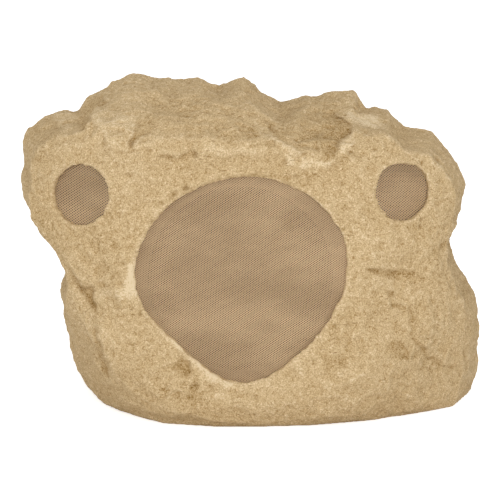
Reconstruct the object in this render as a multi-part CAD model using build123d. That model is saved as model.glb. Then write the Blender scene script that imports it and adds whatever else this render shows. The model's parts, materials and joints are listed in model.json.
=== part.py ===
from build123d import *
import math
import os
import random

# A garden speaker inside a hollow cast rock: one woofer behind a large grille and a tweeter on each side.
# Millimetres. +Z is up, the grilles face -Y, and +X is on the right of someone who faces them.
# The origin is on the ground below the middle of the rock.

# Rock
ROCK_WIDTH = 460.0
ROCK_DEPTH = 370.0
ROCK_HEIGHT = 326.0
ROCK_WALL = 8.0

# The outline seen from the front, clockwise from the lower left, in half widths and heights.
# Points below the ground shape the part that is cut off level at the ground.
ROCK_OUTLINE = (
    (-0.65, -0.19), (-0.70, -0.02), (-0.76, 0.06), (-0.80, 0.13), (-0.82, 0.23), (-0.83, 0.33),
    (-0.80, 0.415), (-0.805, 0.46), (-0.845, 0.503), (-0.935, 0.552), (-0.985, 0.605), (-1.00, 0.67),
    (-0.985, 0.715), (-1.00, 0.79), (-0.955, 0.835), (-0.84, 0.872), (-0.74, 0.89), (-0.69, 0.928),
    (-0.61, 0.955), (-0.54, 0.987), (-0.45, 1.00), (-0.34, 0.972), (-0.23, 0.982), (-0.14, 0.953),
    (-0.035, 0.983), (0.04, 0.93), (0.12, 0.90), (0.29, 0.933), (0.44, 0.935), (0.51, 0.888),
    (0.59, 0.88), (0.655, 0.826), (0.78, 0.812), (0.845, 0.762), (0.905, 0.697), (0.92, 0.65),
    (0.90, 0.57), (0.85, 0.525), (0.855, 0.47), (0.915, 0.38), (0.985, 0.285), (1.00, 0.20),
    (0.99, 0.09), (0.96, -0.03), (0.86, -0.17), (0.42, -0.24), (0.0, -0.26), (-0.35, -0.24),
)
OUTLINE_CENTRE = (0.0, 0.43)

# Flat facets: a point (across, up) of each, its depth there, and how the depth changes across and up,
# in half widths, heights and half depths. The face is where the rearmost facet is, the back likewise.
FRONT_FACETS = (
    (0.00, 0.00, -1.00, 0.00, 0.27),
    (-0.56, 0.18, -0.93, -2.10, -1.60),
    (-0.265, 0.00, -0.93, -1.00, -2.30),
    (0.07, 0.00, -0.88, 0.00, -2.00),
    (0.30, 0.00, -0.85, 0.41, -1.90),
    (0.70, 0.00, -0.67, 0.83, -1.90),
    (0.56, 0.18, -0.90, 0.95, -0.19),
    (0.00, 0.87, -0.75, 0.00, 3.80),
    (-0.56, 0.65, -0.84, -0.56, 0.20),
    (0.53, 0.65, -0.83, 0.56, 0.20),
)
BACK_FACETS = (
    (0.00, 0.30, 1.02, 0.00, -0.10),
    (-0.50, 0.30, 0.98, 1.70, -0.20),
    (0.45, 0.30, 1.00, -1.80, -0.30),
    (0.00, 0.55, 1.00, 0.10, -2.00),
    (0.00, 0.12, 0.92, 0.00, 1.20),
)
FRONT_RINGS = (0.35, 0.48, 0.58, 0.67, 0.76, 0.83, 0.89, 0.945)
BACK_RINGS = (0.93, 0.78, 0.58, 0.32)
FRONT_EDGE_POWER = 9
BACK_EDGE_POWER = 3
FRONT_BLEND = 0.03
BACK_BLEND = 0.06
RIM_DEPTH = -0.15
RIM_ROOM = 0.10
OUTLINE_SMOOTHING_POINTS = 3
OUTLINE_FADE = 4

# Relief of the skin: long waves (length, height, directions, starts) and crags at random. It dies out
# towards the outline and around the openings, the gland and the ground.
WAVE_LENGTH = 110.0
WAVE_HEIGHT = 2.0
WAVE_WAYS = ((0.9, 0.5, 0.3), (-0.5, 0.8, 0.6), (0.2, -0.6, 0.9))
WAVE_STARTS = (0.4, 2.1, 4.0)
CRAG_HEIGHT = 2.5
CRAG_SEED = 7
RELIEF_FADE = 14
CALM_MARGIN = 14.0
CALM_REACH = 24.0

# Hollows and swells on the face: a point (across, depth, up) in half widths, half depths and heights,
# a radius and a height
FACE_MARKS = (
    (0.35, -0.62, 0.87, 46.0, -20.0),
    (0.48, -0.42, 0.88, 26.0, 5.0),
    (-0.16, -0.80, 0.84, 36.0, 5.0),
    (0.02, -0.79, 0.84, 32.0, 4.0),
    (0.21, -0.79, 0.83, 32.0, 4.0),
    (-0.08, -0.66, 0.89, 32.0, -6.0),
    (0.08, -0.64, 0.88, 30.0, -6.0),
    (-0.56, -0.60, 0.90, 28.0, 4.0),
    (-0.68, -0.45, 0.90, 34.0, -11.0),
    (-0.45, -0.70, 0.87, 28.0, -5.0),
    (-0.82, -0.37, 0.86, 30.0, 4.0),
    (-0.69, -0.81, 0.38, 34.0, -9.0),
    (-0.71, -0.71, 0.22, 34.0, 4.0),
    (-0.62, -0.80, 0.17, 26.0, -4.0),
    (0.66, -0.79, 0.45, 32.0, -7.0),
    (0.74, -0.80, 0.30, 36.0, 5.0),
    (0.81, -0.67, 0.15, 28.0, -5.0),
)

# Woofer opening: radii at even angles, anticlockwise from the right, and what is grown from it
WOOFER_OPENING = (100, 106, 104, 101, 98, 96, 98, 100, 100, 92, 85, 89, 97, 93, 90, 93)
WOOFER_X = -11.0
WOOFER_BELOW_MIDDLE = 19.0
WOOFER_TILT = 8.0
WOOFER_POCKET_MARGIN = 7.0
BAFFLE_SCREW_MARGIN = 18.0
BAFFLE_MARGIN = 22.5
WOOFER_SEAT_MARGIN = 25.0
WOOFER_SEAT_THICKNESS = 12.0
WOOFER_GRILLE_RECESS = 3.0
BAFFLE_THICKNESS = 12.0

# Tweeter openings: radii at even angles, anticlockwise from the right
LEFT_TWEETER_OPENING = (30, 31, 29, 30, 30, 29, 29, 29)
RIGHT_TWEETER_OPENING = (28, 29, 27, 29, 28, 28, 27, 27)
LEFT_TWEETER_X = -165.0
RIGHT_TWEETER_X = 145.0
LEFT_TWEETER_ABOVE_MIDDLE = 58.5
RIGHT_TWEETER_ABOVE_MIDDLE = 62.0
LEFT_TWEETER_YAW = 26.0
RIGHT_TWEETER_YAW = 24.0
TWEETER_TILT = 8.0
TWEETER_POCKET_MARGIN = 4.0
TWEETER_SCREW_MARGIN = 8.0
FACEPLATE_MARGIN = 11.5
TWEETER_SEAT_MARGIN = 14.0
TWEETER_SEAT_THICKNESS = 12.0
TWEETER_GRILLE_RECESS = 2.0

# Fits shared by all the pieces
GRILLE_SHEET = 1.0
POCKET_FIT = 0.4
SCREW_FIT = 0.1
CLEARANCE_FIT = 0.3
BOND_FIT = 0.05

# Woofer
WOOFER_GASKET = 2.0
FLANGE_RADIUS = 102.0
WOOFER_HOLE_RADIUS = 89.0
WOOFER_SCREW_CIRCLE = 97.5
WOOFER_SCREWS = 8
SHEET_STEEL = 1.5
LANDING_OUTER = 92.0
LANDING_INNER = 85.0
LANDING_DROP = 4.0
SPIDER_SEAT_RADIUS = 57.0
SPIDER_SEAT_DROP = 40.0
NECK_RADIUS = 45.0
BASKET_DEPTH = 58.0
BASKET_FLOOR_RADIUS = 30.0
WINDOWS = 6
WINDOW_ANGLE = 42.0
WINDOW_INNER = 61.0
WINDOW_OUTER = 83.0
ROLL_OUTER = 84.5
CONE_RADIUS = 71.0
CONE_LIP = 5.0
SURROUND_SKIN = 1.0
CONE_SKIN = 1.0
CONE_NECK_DROP = 37.0
DUST_CAP_RADIUS = 28.0
DUST_CAP_RISE = 9.0
DUST_CAP_SKIN = 0.8
FORMER_RADIUS = 18.0
FORMER_SKIN = 0.4
FORMER_LENGTH = 36.0
WINDING_SKIN = 0.8
WINDING_LENGTH = 14.0
COIL_GAP = 0.7
SPIDER_SKIN = 0.6
SPIDER_WAVES = 4
SPIDER_WAVE_HEIGHT = 1.4
SPIDER_FLAT = 1.2
TOP_PLATE_RADIUS = 50.0
TOP_PLATE_THICKNESS = 6.0
MAGNET_RADIUS = 52.0
MAGNET_BORE = 24.0
MAGNET_HEIGHT = 20.0
YOKE_RADIUS = 48.0
YOKE_THICKNESS = 8.0
TAG_LENGTH = 18.0
TAG_WIDTH = 16.0
TAG_THICKNESS = 1.6

# Tweeters
TWEETER_GASKET = 1.0
FACEPLATE_THICKNESS = 4.0
WAVEGUIDE_THROAT = 17.0
WAVEGUIDE_MOUTH = 24.0
DOME_RADIUS = 12.5
DOME_RISE = 5.0
DOME_SKIN = 0.4
DOME_ROLL_OUTER = 16.0
DOME_RING_OUTER = 22.0
DOME_SURROUND_SKIN = 0.4
TWEETER_COIL_SKIN = 0.7
TWEETER_COIL_LENGTH = 4.0
TWEETER_COIL_GAP = 0.6
TWEETER_PLATE_RADIUS = 28.0
TWEETER_PLATE_THICKNESS = 3.0
TWEETER_MAGNET_RADIUS = 30.0
TWEETER_MAGNET_BORE = 16.0
TWEETER_MAGNET_HEIGHT = 12.0
TWEETER_YOKE_RADIUS = 28.0
TWEETER_YOKE_THICKNESS = 5.0
TWEETER_TAG_WIDTH = 10.0
TWEETER_TAG_LENGTH = 8.0

# Screws: shank radius, head radius, head height
BAFFLE_SCREW = (2.0, 3.5, 2.6)
WOOFER_SCREW = (2.0, 3.0, 2.4)
TWEETER_SCREW = (1.5, 2.8, 2.0)
BASE_SCREW = (2.0, 3.8, 2.5)
BOARD_SCREW = (1.5, 2.8, 2.0)
BAFFLE_SCREW_BITE = 8.0
WOOFER_SCREW_BITE = 9.0
TWEETER_SCREW_BITE = 7.0
BASE_SCREW_BITE = 6.0
BOARD_SCREW_BITE = 5.0

# Base under the rock
BASE_X = 15.0
BASE_Y = 0.0
BASE_WIDTH = 230.0
BASE_LENGTH = 200.0
BASE_CORNER = 50.0
BASE_RECESS = 1.0
BASE_PLATE = 5.0
BASE_GASKET = 2.0
BASE_LEDGE = 16.0
BASE_FIT = 0.8
LIP_FLANGE = 8.0

# Crossover board on the base plate
BOARD_WIDTH = 150.0
BOARD_LENGTH = 90.0
BOARD_THICKNESS = 1.6
BOARD_SCREW_INSET = 7.0
BOSS_RADIUS = 4.5
BOSS_HEIGHT = 7.0
INDUCTOR_RADIUS = 22.0
INDUCTOR_BORE = 10.0
INDUCTOR_HEIGHT = 20.0
INDUCTOR_X = 48.0
INDUCTOR_Y = 14.0
CAPACITOR_SIZE = (14.0, 32.0, 20.0)
CAPACITOR_Y = 22.0
RESISTOR_SIZE = (11.0, 26.0, 10.0)
RESISTOR_Y = -12.0
PAIR_X = 12.0
BLOCK_DEPTH = 14.0
BLOCK_HEIGHT = 14.0
BLOCK_PITCH = 8.0
BLOCK_SCREW_RADIUS = 2.2
BLOCK_SCREW_DEPTH = 5.0
BLOCK_WELL_Y = 3.5
OUTPUT_WAYS = 6
INPUT_WAYS = 4
BLOCK_X = 40.0
BLOCK_Y = -32.0

# Cable gland low on the back
GLAND_X = 60.0
GLAND_Z = 46.0
GLAND_SPOT_RADIUS = 16.0
GLAND_SPOT_DEPTH = 1.0
GLAND_SPOT_POINTS = 8
GLAND_PAD_RADIUS = 20.0
GLAND_PAD_THICKNESS = 10.0
GLAND_THREAD = 8.0
GLAND_BORE = 5.5
GLAND_HEX = 11.0
GLAND_FLANGE = 6.0
GLAND_NECK = 9.0
GLAND_NECK_LENGTH = 8.0
GLAND_MOUTH = 7.0
LOCKNUT_HEX = 12.5
LOCKNUT_HEIGHT = 5.0
THREAD_RUNOUT = 2.0
SEAL_BORE = 4.25
SEAL_LENGTH = 7.0
CAP_END = 6.0
CAP_HOLE = 5.0
CAP_LIP = 7.0

# Leads inside the rock
LEAD_RADIUS = 1.6
LEAD_BEND = 14.0
LEAD_START = 30.0
LEAD_RISE = 25.0
LEAD_SIDE_X = 112.0
LEAD_SIDE_Y = 40.0
LEAD_SIDE_Z = 110.0

# Worked out from the values above
LIP_HEIGHT = BASE_RECESS + BASE_PLATE + BASE_GASKET + LIP_FLANGE
BASE_BOTTOM = BASE_RECESS
BASE_TOP = BASE_BOTTOM + BASE_PLATE
LIP_FACE = BASE_TOP + BASE_GASKET
BOARD_BOTTOM = BASE_TOP + BOSS_HEIGHT
BOARD_TOP = BOARD_BOTTOM + BOARD_THICKNESS
BEYOND = ROCK_DEPTH
BAFFLE_ROOM = BAFFLE_THICKNESS + 2 * BAFFLE_SCREW[2]
FACEPLATE_ROOM = TWEETER_GASKET + FACEPLATE_THICKNESS + 2 * TWEETER_SCREW[2]


# The rock's surface

def smooth_max(values, blend):
    """The largest value, with the step from one to the next rounded over."""
    top = max(values)
    return top + blend * math.log(sum(math.exp((value - top) / blend) for value in values))


def facet_depth(facets, across, up, blend, side):
    """Depth of the innermost facet. side is 1 for the face and -1 for the back."""
    depths = [w + du * (across - u) + dv * (up - v) for u, v, w, du, dv in facets]
    return side * smooth_max([side * depth for depth in depths], blend)


def smoothed(outline, reach):
    """Each outline point averaged with its neighbours."""
    count = len(outline)
    result = []
    for index in range(count):
        near = [outline[(index + step) % count] for step in range(-reach, reach + 1)]
        result.append(tuple(sum(point[k] for point in near) / len(near) for k in (0, 1)))
    return result


def rock_ring(share, facets, blend, side, power):
    """One ring of the rock, share of the way from its middle to its outline."""
    cu, cv = OUTLINE_CENTRE
    fade = share ** OUTLINE_FADE
    round_off = (1 - share ** power) ** (1 / power)
    ring = []
    for (ou, ov), (su, sv) in zip(ROCK_OUTLINE, smoothed(ROCK_OUTLINE, OUTLINE_SMOOTHING_POINTS)):
        u = cu + share * (su + fade * (ou - su) - cu)
        v = cv + share * (sv + fade * (ov - sv) - cv)
        depth = side * min(side * facet_depth(facets, u, v, blend, side), side * RIM_DEPTH - RIM_ROOM)
        ring.append(rock_point(u, v, RIM_DEPTH + (depth - RIM_DEPTH) * round_off))
    return ring


def rock_point(across, up, depth):
    """A point from half widths, heights and half depths."""
    return Vector(across * ROCK_WIDTH / 2, depth * ROCK_DEPTH / 2, up * ROCK_HEIGHT)


def skin_normals(front, rings, back):
    """The outward direction at each point of the rings."""
    count = len(rings[0])
    result = []
    for index, ring in enumerate(rings):
        ahead = rings[index - 1] if index else [front] * count
        behind = rings[index + 1] if index + 1 < len(rings) else [back] * count
        along = [ring[(j + 1) % count] - ring[j - 1] for j in range(count)]
        result.append([along[j].cross(behind[j] - ahead[j]).normalized() for j in range(count)])
    return result


def smooth_step(low, high, value):
    """0 below low, 1 above high and smooth between."""
    share = min(max((value - low) / (high - low), 0), 1)
    return share * share * (3 - 2 * share)


def calm_zones():
    """Where the skin stays even: the middle (x, z) and radius of each opening, and of the gland."""
    middle = ROCK_HEIGHT / 2
    face = [
        (WOOFER_X, middle - WOOFER_BELOW_MIDDLE, max(WOOFER_OPENING) + CALM_MARGIN),
        (LEFT_TWEETER_X, middle + LEFT_TWEETER_ABOVE_MIDDLE, max(LEFT_TWEETER_OPENING) + CALM_MARGIN),
        (RIGHT_TWEETER_X, middle + RIGHT_TWEETER_ABOVE_MIDDLE, max(RIGHT_TWEETER_OPENING) + CALM_MARGIN),
    ]
    return face, [(GLAND_X, GLAND_Z, GLAND_PAD_RADIUS + CALM_MARGIN)]


def relief(point, crag, marks, zones):
    """How far the skin stands out at a point, with a crag from -1 to 1."""
    turns = [Vector(*way).dot(point) / WAVE_LENGTH for way in WAVE_WAYS]
    height = WAVE_HEIGHT * sum(math.sin(math.tau * turn + start) for turn, start in zip(turns, WAVE_STARTS))
    height += CRAG_HEIGHT * crag
    height *= smooth_step(LIP_HEIGHT, LIP_HEIGHT + CALM_REACH, point.Z)
    for x, z, radius in zones:
        height *= smooth_step(radius, radius + CALM_REACH, math.hypot(point.X - x, point.Z - z))
    for across, depth, up, radius, rise in marks:
        distance = (point - rock_point(across, up, depth)).length
        height += rise * max(0, 1 - (distance / radius) ** 2) ** 2
    return height


def with_relief(front, rings, back):
    """The same points with waves and marks in the skin, at the rock's real depth."""
    shares = FRONT_RINGS + (1.0,) + BACK_RINGS
    face_zones, back_zones = calm_zones()
    chance = random.Random(CRAG_SEED)
    raised = []
    for index, (share, ring, normals) in enumerate(zip(shares, rings, skin_normals(front, rings, back))):
        on_face = index < len(FRONT_RINGS)
        marks, zones = (FACE_MARKS, face_zones) if on_face else ((), back_zones)
        fade = 1 - share ** RELIEF_FADE
        crags = [chance.uniform(-1, 1) * share ** 2 for _ in ring]
        heights = [relief(point, crag, marks, zones) for point, crag in zip(ring, crags)]
        raised.append([p + n * fade * height for p, n, height in zip(ring, normals, heights)])
    shown = [point.Y for ring in raised + [[front, back]] for point in ring if point.Z > 0]
    middle = (max(shown) + min(shown)) / 2
    stretch = ROCK_DEPTH / (max(shown) - min(shown))

    def fitted(point):
        return Vector(point.X, (point.Y - middle) * stretch, point.Z)

    return fitted(front), [[fitted(point) for point in ring] for ring in raised], fitted(back)


def rock_points():
    """The front tip, the rings from front to back and the back tip, at the rock's real size."""
    front = rock_point(*OUTLINE_CENTRE, facet_depth(FRONT_FACETS, *OUTLINE_CENTRE, FRONT_BLEND, 1))
    back = rock_point(*OUTLINE_CENTRE, facet_depth(BACK_FACETS, *OUTLINE_CENTRE, BACK_BLEND, -1))
    rings = [rock_ring(s, FRONT_FACETS, FRONT_BLEND, 1, FRONT_EDGE_POWER) for s in FRONT_RINGS + (1.0,)]
    rings += [rock_ring(s, BACK_FACETS, BACK_BLEND, -1, BACK_EDGE_POWER) for s in BACK_RINGS]
    return with_relief(front, rings, back)


def inset_points(front, rings, back, distance):
    """The same points moved inward, square to the surface."""
    normals = skin_normals(front, rings, back)
    moved = [[p - n * distance for p, n in zip(ring, row)] for ring, row in zip(rings, normals)]
    return front + Vector(0, distance, 0), moved, back - Vector(0, distance, 0)


def faceted_solid(front, rings, back):
    """A closed solid of flat triangles through the points."""
    count = len(rings[0])
    triangles = []
    for j in range(count):
        k = (j + 1) % count
        triangles.append((front, rings[0][j], rings[0][k]))
        triangles.append((back, rings[-1][k], rings[-1][j]))
        for near, far in zip(rings, rings[1:]):
            triangles.append((near[j], far[j], far[k]))
            triangles.append((near[j], far[k], near[k]))
    return Solid(Shell([Face(Wire.make_polygon(corners, close=True)) for corners in triangles]))


# Shared shapes

def turned(profile):
    """A solid of revolution about Z from (radius, height) corners."""
    return revolve(Plane.XZ * make_face(Polyline(*profile, close=True)), axis=Axis.Z)


def ring(outer, inner, low, high):
    """A flat ring about Z."""
    return turned([(inner, low), (outer, low), (outer, high), (inner, high)])


def disc(radius, low, high):
    """A disc about Z."""
    return Pos(0, 0, (low + high) / 2) * Cylinder(radius, high - low)


def outline_points(radii, margin, every=1, first=0):
    """Points at even angles around an opening, margin outside its edge."""
    points = []
    for i in range(first, len(radii), every):
        angle = math.tau * i / len(radii)
        reach = radii[i] + margin
        points.append((reach * math.cos(angle), reach * math.sin(angle)))
    return points


def slab(radii, margin, low, high):
    """A plate with an opening's outline, grown by margin: arcs through each three points."""
    points = outline_points(radii, margin)
    points.insert(0, points[-1])
    arcs = [ThreePointArc(*points[i:i + 3]) for i in range(0, len(radii), 2)]
    return Pos(0, 0, low) * extrude(make_face(arcs), amount=high - low)


def screw(size, tip, seat):
    """A pan head screw along Z: its tip, and the face its head sits on, below the tip."""
    shank, head, height = size
    back = seat - height
    return turned([(0, back), (head, back), (head, seat), (shank, seat), (shank, tip), (0, tip)])


def placed(places, shape):
    """Copies of a shape at (x, y) places."""
    return [Pos(x, y, 0) * shape for x, y in places]


def circle_places(radius, count):
    """Even places on a circle."""
    angles = [math.tau * i / count for i in range(count)]
    return [(radius * math.cos(angle), radius * math.sin(angle)) for angle in angles]


def group(shapes):
    """Separate solids kept together in one node."""
    return Compound([solid for shape in shapes for solid in shape.solids()])


def base_outline(margin, low, high):
    """A plate with the base's rounded outline, grown by margin."""
    sketch = RectangleRounded(BASE_WIDTH + 2 * margin, BASE_LENGTH + 2 * margin, BASE_CORNER + margin)
    return Pos(BASE_X, BASE_Y, low) * extrude(sketch, amount=high - low)


def base_screw_places():
    """Screws in the middle of the base's ledge, at its corners and sides."""
    x = BASE_WIDTH / 2 - BASE_LEDGE / 2
    y = BASE_LENGTH / 2 - BASE_LEDGE / 2
    corner = BASE_CORNER - BASE_LEDGE / 2
    inward = corner * (1 - math.sqrt(0.5))
    local = [(0, y), (0, -y), (x, 0), (-x, 0)]
    local += [(sx * (x - inward), sy * (y - inward)) for sx in (-1, 1) for sy in (-1, 1)]
    return [(BASE_X + dx, BASE_Y + dy) for dx, dy in local]


# Where the drivers sit in the rock

def rock_face(rock, start, direction):
    """The outermost point of the rock on a line, in a direction."""
    hits = rock.find_intersection_points(Axis(start, direction))
    return max((point for point, normal in hits), key=lambda point: point.dot(direction))


class Seat:
    """A flat land behind an opening in the rock's face. Z of its plane points out of the rock."""

    def __init__(self, rock, radii, x, z, yaw, tilt, pocket_margin, margin, thickness, recess):
        turn = math.radians(yaw)
        lean = math.radians(tilt)
        out = (math.sin(turn) * math.cos(lean), -math.cos(turn) * math.cos(lean), math.sin(lean))
        face = rock_face(rock, Vector(x, 0, z), Vector(0, -1, 0))
        start = Plane(origin=face, x_dir=(math.cos(turn), math.sin(turn), 0), z_dir=out)
        land = min(self.face_heights(rock, start, radii, margin)) - thickness
        self.radii = radii
        self.plane = start.offset(land)
        self.rim = min(self.face_heights(rock, start, radii, pocket_margin)) - land
        self.grille_front = self.rim - recess
        self.grille_back = self.grille_front - GRILLE_SHEET

    @staticmethod
    def face_heights(rock, plane, radii, margin):
        """How far the rock's face lies in front of a plane, around an opening."""
        heights = []
        for x, y in outline_points(radii, margin):
            start = plane.from_local_coords(Vector(x, y, 0))
            heights.append((rock_face(rock, start, plane.z_dir) - start).dot(plane.z_dir))
        return heights

    def place(self, shape):
        """Move a shape from the seat's own frame into the rock."""
        return self.plane.location * shape

    def at(self, x, y, z):
        """A point of the seat's own frame, in the rock."""
        return self.plane.from_local_coords(Vector(x, y, z))


def gland_plane(rock):
    """The gland's flat spot on the back of the rock. Z points out."""
    start = Plane(origin=(GLAND_X, 0, GLAND_Z), x_dir=(-1, 0, 0), z_dir=(0, 1, 0))
    depths = Seat.face_heights(rock, start, (GLAND_SPOT_RADIUS,) * GLAND_SPOT_POINTS, 0)
    return start.offset(min(depths) - GLAND_SPOT_DEPTH)


class Layout:
    """The solid rock and the places in it that the pieces share."""

    def __init__(self):
        self.points = rock_points()
        self.rock = split(faceted_solid(*self.points), bisect_by=Plane.XY, keep=Keep.TOP)
        middle = ROCK_HEIGHT / 2
        self.woofer = Seat(
            self.rock, WOOFER_OPENING, WOOFER_X, middle - WOOFER_BELOW_MIDDLE, 0, WOOFER_TILT,
            WOOFER_POCKET_MARGIN, WOOFER_SEAT_MARGIN, WOOFER_SEAT_THICKNESS, WOOFER_GRILLE_RECESS,
        )
        tweeter_sizes = (
            TWEETER_TILT, TWEETER_POCKET_MARGIN, TWEETER_SEAT_MARGIN, TWEETER_SEAT_THICKNESS,
            TWEETER_GRILLE_RECESS,
        )
        self.tweeters = {
            "left": Seat(
                self.rock, LEFT_TWEETER_OPENING, LEFT_TWEETER_X, middle + LEFT_TWEETER_ABOVE_MIDDLE,
                -LEFT_TWEETER_YAW, *tweeter_sizes,
            ),
            "right": Seat(
                self.rock, RIGHT_TWEETER_OPENING, RIGHT_TWEETER_X, middle + RIGHT_TWEETER_ABOVE_MIDDLE,
                RIGHT_TWEETER_YAW, *tweeter_sizes,
            ),
        }
        self.gland = gland_plane(self.rock)


# Rock shell and base

def seat_cuts(seat, pocket_margin, screw_size, screw_places, bite):
    """What a driver takes out of the rock: its opening, its grille's pocket and its screws' holes."""
    hole = disc(screw_size[0] + SCREW_FIT, 0, bite)
    cuts = [slab(seat.radii, 0, 0, seat.rim + BEYOND)]
    cuts.append(slab(seat.radii, pocket_margin, 0, seat.grille_front))
    cuts += placed(screw_places, hole)
    return [seat.place(cut) for cut in cuts]


def tweeter_screw_places(seat):
    """Four screws around a tweeter."""
    return outline_points(seat.radii, TWEETER_SCREW_MARGIN, 2, 1)


def baffle_screw_places(seat):
    """Eight screws around the woofer's baffle."""
    return outline_points(seat.radii, BAFFLE_SCREW_MARGIN, 2, 1)


def rock_shell(layout):
    """The hollow rock, with its seats, openings, gland hole and the ledge around the base."""
    cavity = faceted_solid(*inset_points(*layout.points, ROCK_WALL))
    cavity = split(cavity, bisect_by=Plane.XY.offset(LIP_HEIGHT), keep=Keep.TOP)
    kept = [layout.woofer.place(slab(layout.woofer.radii, WOOFER_SEAT_MARGIN, 0, BEYOND))]
    for seat in layout.tweeters.values():
        kept.append(seat.place(slab(seat.radii, TWEETER_SEAT_MARGIN, 0, BEYOND)))
    kept.append(layout.gland.location * disc(GLAND_PAD_RADIUS, -GLAND_PAD_THICKNESS, BEYOND))
    cavity -= kept

    seat = layout.woofer
    cuts = [cavity, seat.place(slab(seat.radii, BAFFLE_MARGIN + CLEARANCE_FIT, -BAFFLE_ROOM, 0))]
    cuts += seat_cuts(
        seat, WOOFER_POCKET_MARGIN, BAFFLE_SCREW, baffle_screw_places(seat), BAFFLE_SCREW_BITE
    )
    for seat in layout.tweeters.values():
        cuts.append(seat.place(slab(seat.radii, FACEPLATE_MARGIN + CLEARANCE_FIT, -FACEPLATE_ROOM, 0)))
        cuts += seat_cuts(
            seat, TWEETER_POCKET_MARGIN, TWEETER_SCREW, tweeter_screw_places(seat), TWEETER_SCREW_BITE
        )
    cuts.append(layout.gland.location * disc(GLAND_SPOT_RADIUS, 0, BEYOND))
    cuts.append(layout.gland.location * disc(GLAND_THREAD + CLEARANCE_FIT, -2 * GLAND_PAD_THICKNESS, 0))
    cuts.append(base_outline(BASE_FIT, 0, LIP_FACE))
    cuts.append(base_outline(-BASE_LEDGE, 0, LIP_HEIGHT))
    cuts += placed(base_screw_places(), disc(BASE_SCREW[0] + SCREW_FIT, 0, LIP_FACE + BASE_SCREW_BITE))
    return layout.rock - cuts


def board_screw_places():
    """The crossover board's four corners."""
    x = BOARD_WIDTH / 2 - BOARD_SCREW_INSET
    y = BOARD_LENGTH / 2 - BOARD_SCREW_INSET
    return [(BASE_X + sx * x, BASE_Y + sy * y) for sx in (-1, 1) for sy in (-1, 1)]


def base_plate():
    """The plate that closes the rock from below, with bosses for the crossover board."""
    plate = base_outline(0, BASE_BOTTOM, BASE_TOP)
    plate += placed(board_screw_places(), disc(BOSS_RADIUS, BASE_TOP, BOARD_BOTTOM))
    shank, head, height = BASE_SCREW
    cuts = placed(base_screw_places(), disc(shank + CLEARANCE_FIT, BASE_BOTTOM, BASE_TOP))
    cuts += placed(base_screw_places(), disc(head + CLEARANCE_FIT, BASE_BOTTOM, BASE_BOTTOM + height))
    hole = disc(BOARD_SCREW[0] + SCREW_FIT, BOARD_BOTTOM - BOARD_SCREW_BITE, BOARD_BOTTOM)
    cuts += placed(board_screw_places(), hole)
    return plate - cuts


def base_gasket():
    """The flat seal between the plate and the rock's ledge."""
    gasket = base_outline(0, BASE_TOP, LIP_FACE) - base_outline(-BASE_LEDGE, BASE_TOP, LIP_FACE)
    return gasket - placed(base_screw_places(), disc(BASE_SCREW[0] + CLEARANCE_FIT, BASE_TOP, LIP_FACE))


def base_screws():
    """Screws from below, with their heads sunk in the plate."""
    one = screw(BASE_SCREW, LIP_FACE + BASE_SCREW_BITE, BASE_BOTTOM + BASE_SCREW[2])
    return group(placed(base_screw_places(), one))


# Grilles and baffle

def grille(seat, pocket_margin):
    """A flat sheet in its pocket behind the opening."""
    return seat.place(slab(seat.radii, pocket_margin - POCKET_FIT, seat.grille_back, seat.grille_front))


def woofer_baffle(seat):
    """The board that carries the woofer and presses its grille into the rock."""
    board = slab(seat.radii, BAFFLE_MARGIN, -BAFFLE_THICKNESS, 0)
    board += slab(seat.radii, WOOFER_POCKET_MARGIN - POCKET_FIT, 0, seat.grille_back)
    cuts = [disc(WOOFER_HOLE_RADIUS, -BAFFLE_THICKNESS, seat.grille_back)]
    cuts += placed(baffle_screw_places(seat), disc(BAFFLE_SCREW[0] + CLEARANCE_FIT, -BAFFLE_THICKNESS, 0))
    hole = disc(WOOFER_SCREW[0] + SCREW_FIT, -BAFFLE_THICKNESS, WOOFER_SCREW_BITE - BAFFLE_THICKNESS)
    cuts += placed(circle_places(WOOFER_SCREW_CIRCLE, WOOFER_SCREWS), hole)
    return seat.place(board - cuts)


def baffle_screws(seat):
    """Screws through the baffle into the rock."""
    one = screw(BAFFLE_SCREW, BAFFLE_SCREW_BITE, -BAFFLE_THICKNESS)
    return seat.place(group(placed(baffle_screw_places(seat), one)))


# Woofer, in heights from the front face of its flange

def woofer_gasket():
    """The flat seal in front of the flange."""
    hole = disc(WOOFER_SCREW[0] + CLEARANCE_FIT, 0, WOOFER_GASKET)
    gasket = ring(FLANGE_RADIUS, WOOFER_HOLE_RADIUS, 0, WOOFER_GASKET)
    return gasket - placed(circle_places(WOOFER_SCREW_CIRCLE, WOOFER_SCREWS), hole)


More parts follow.
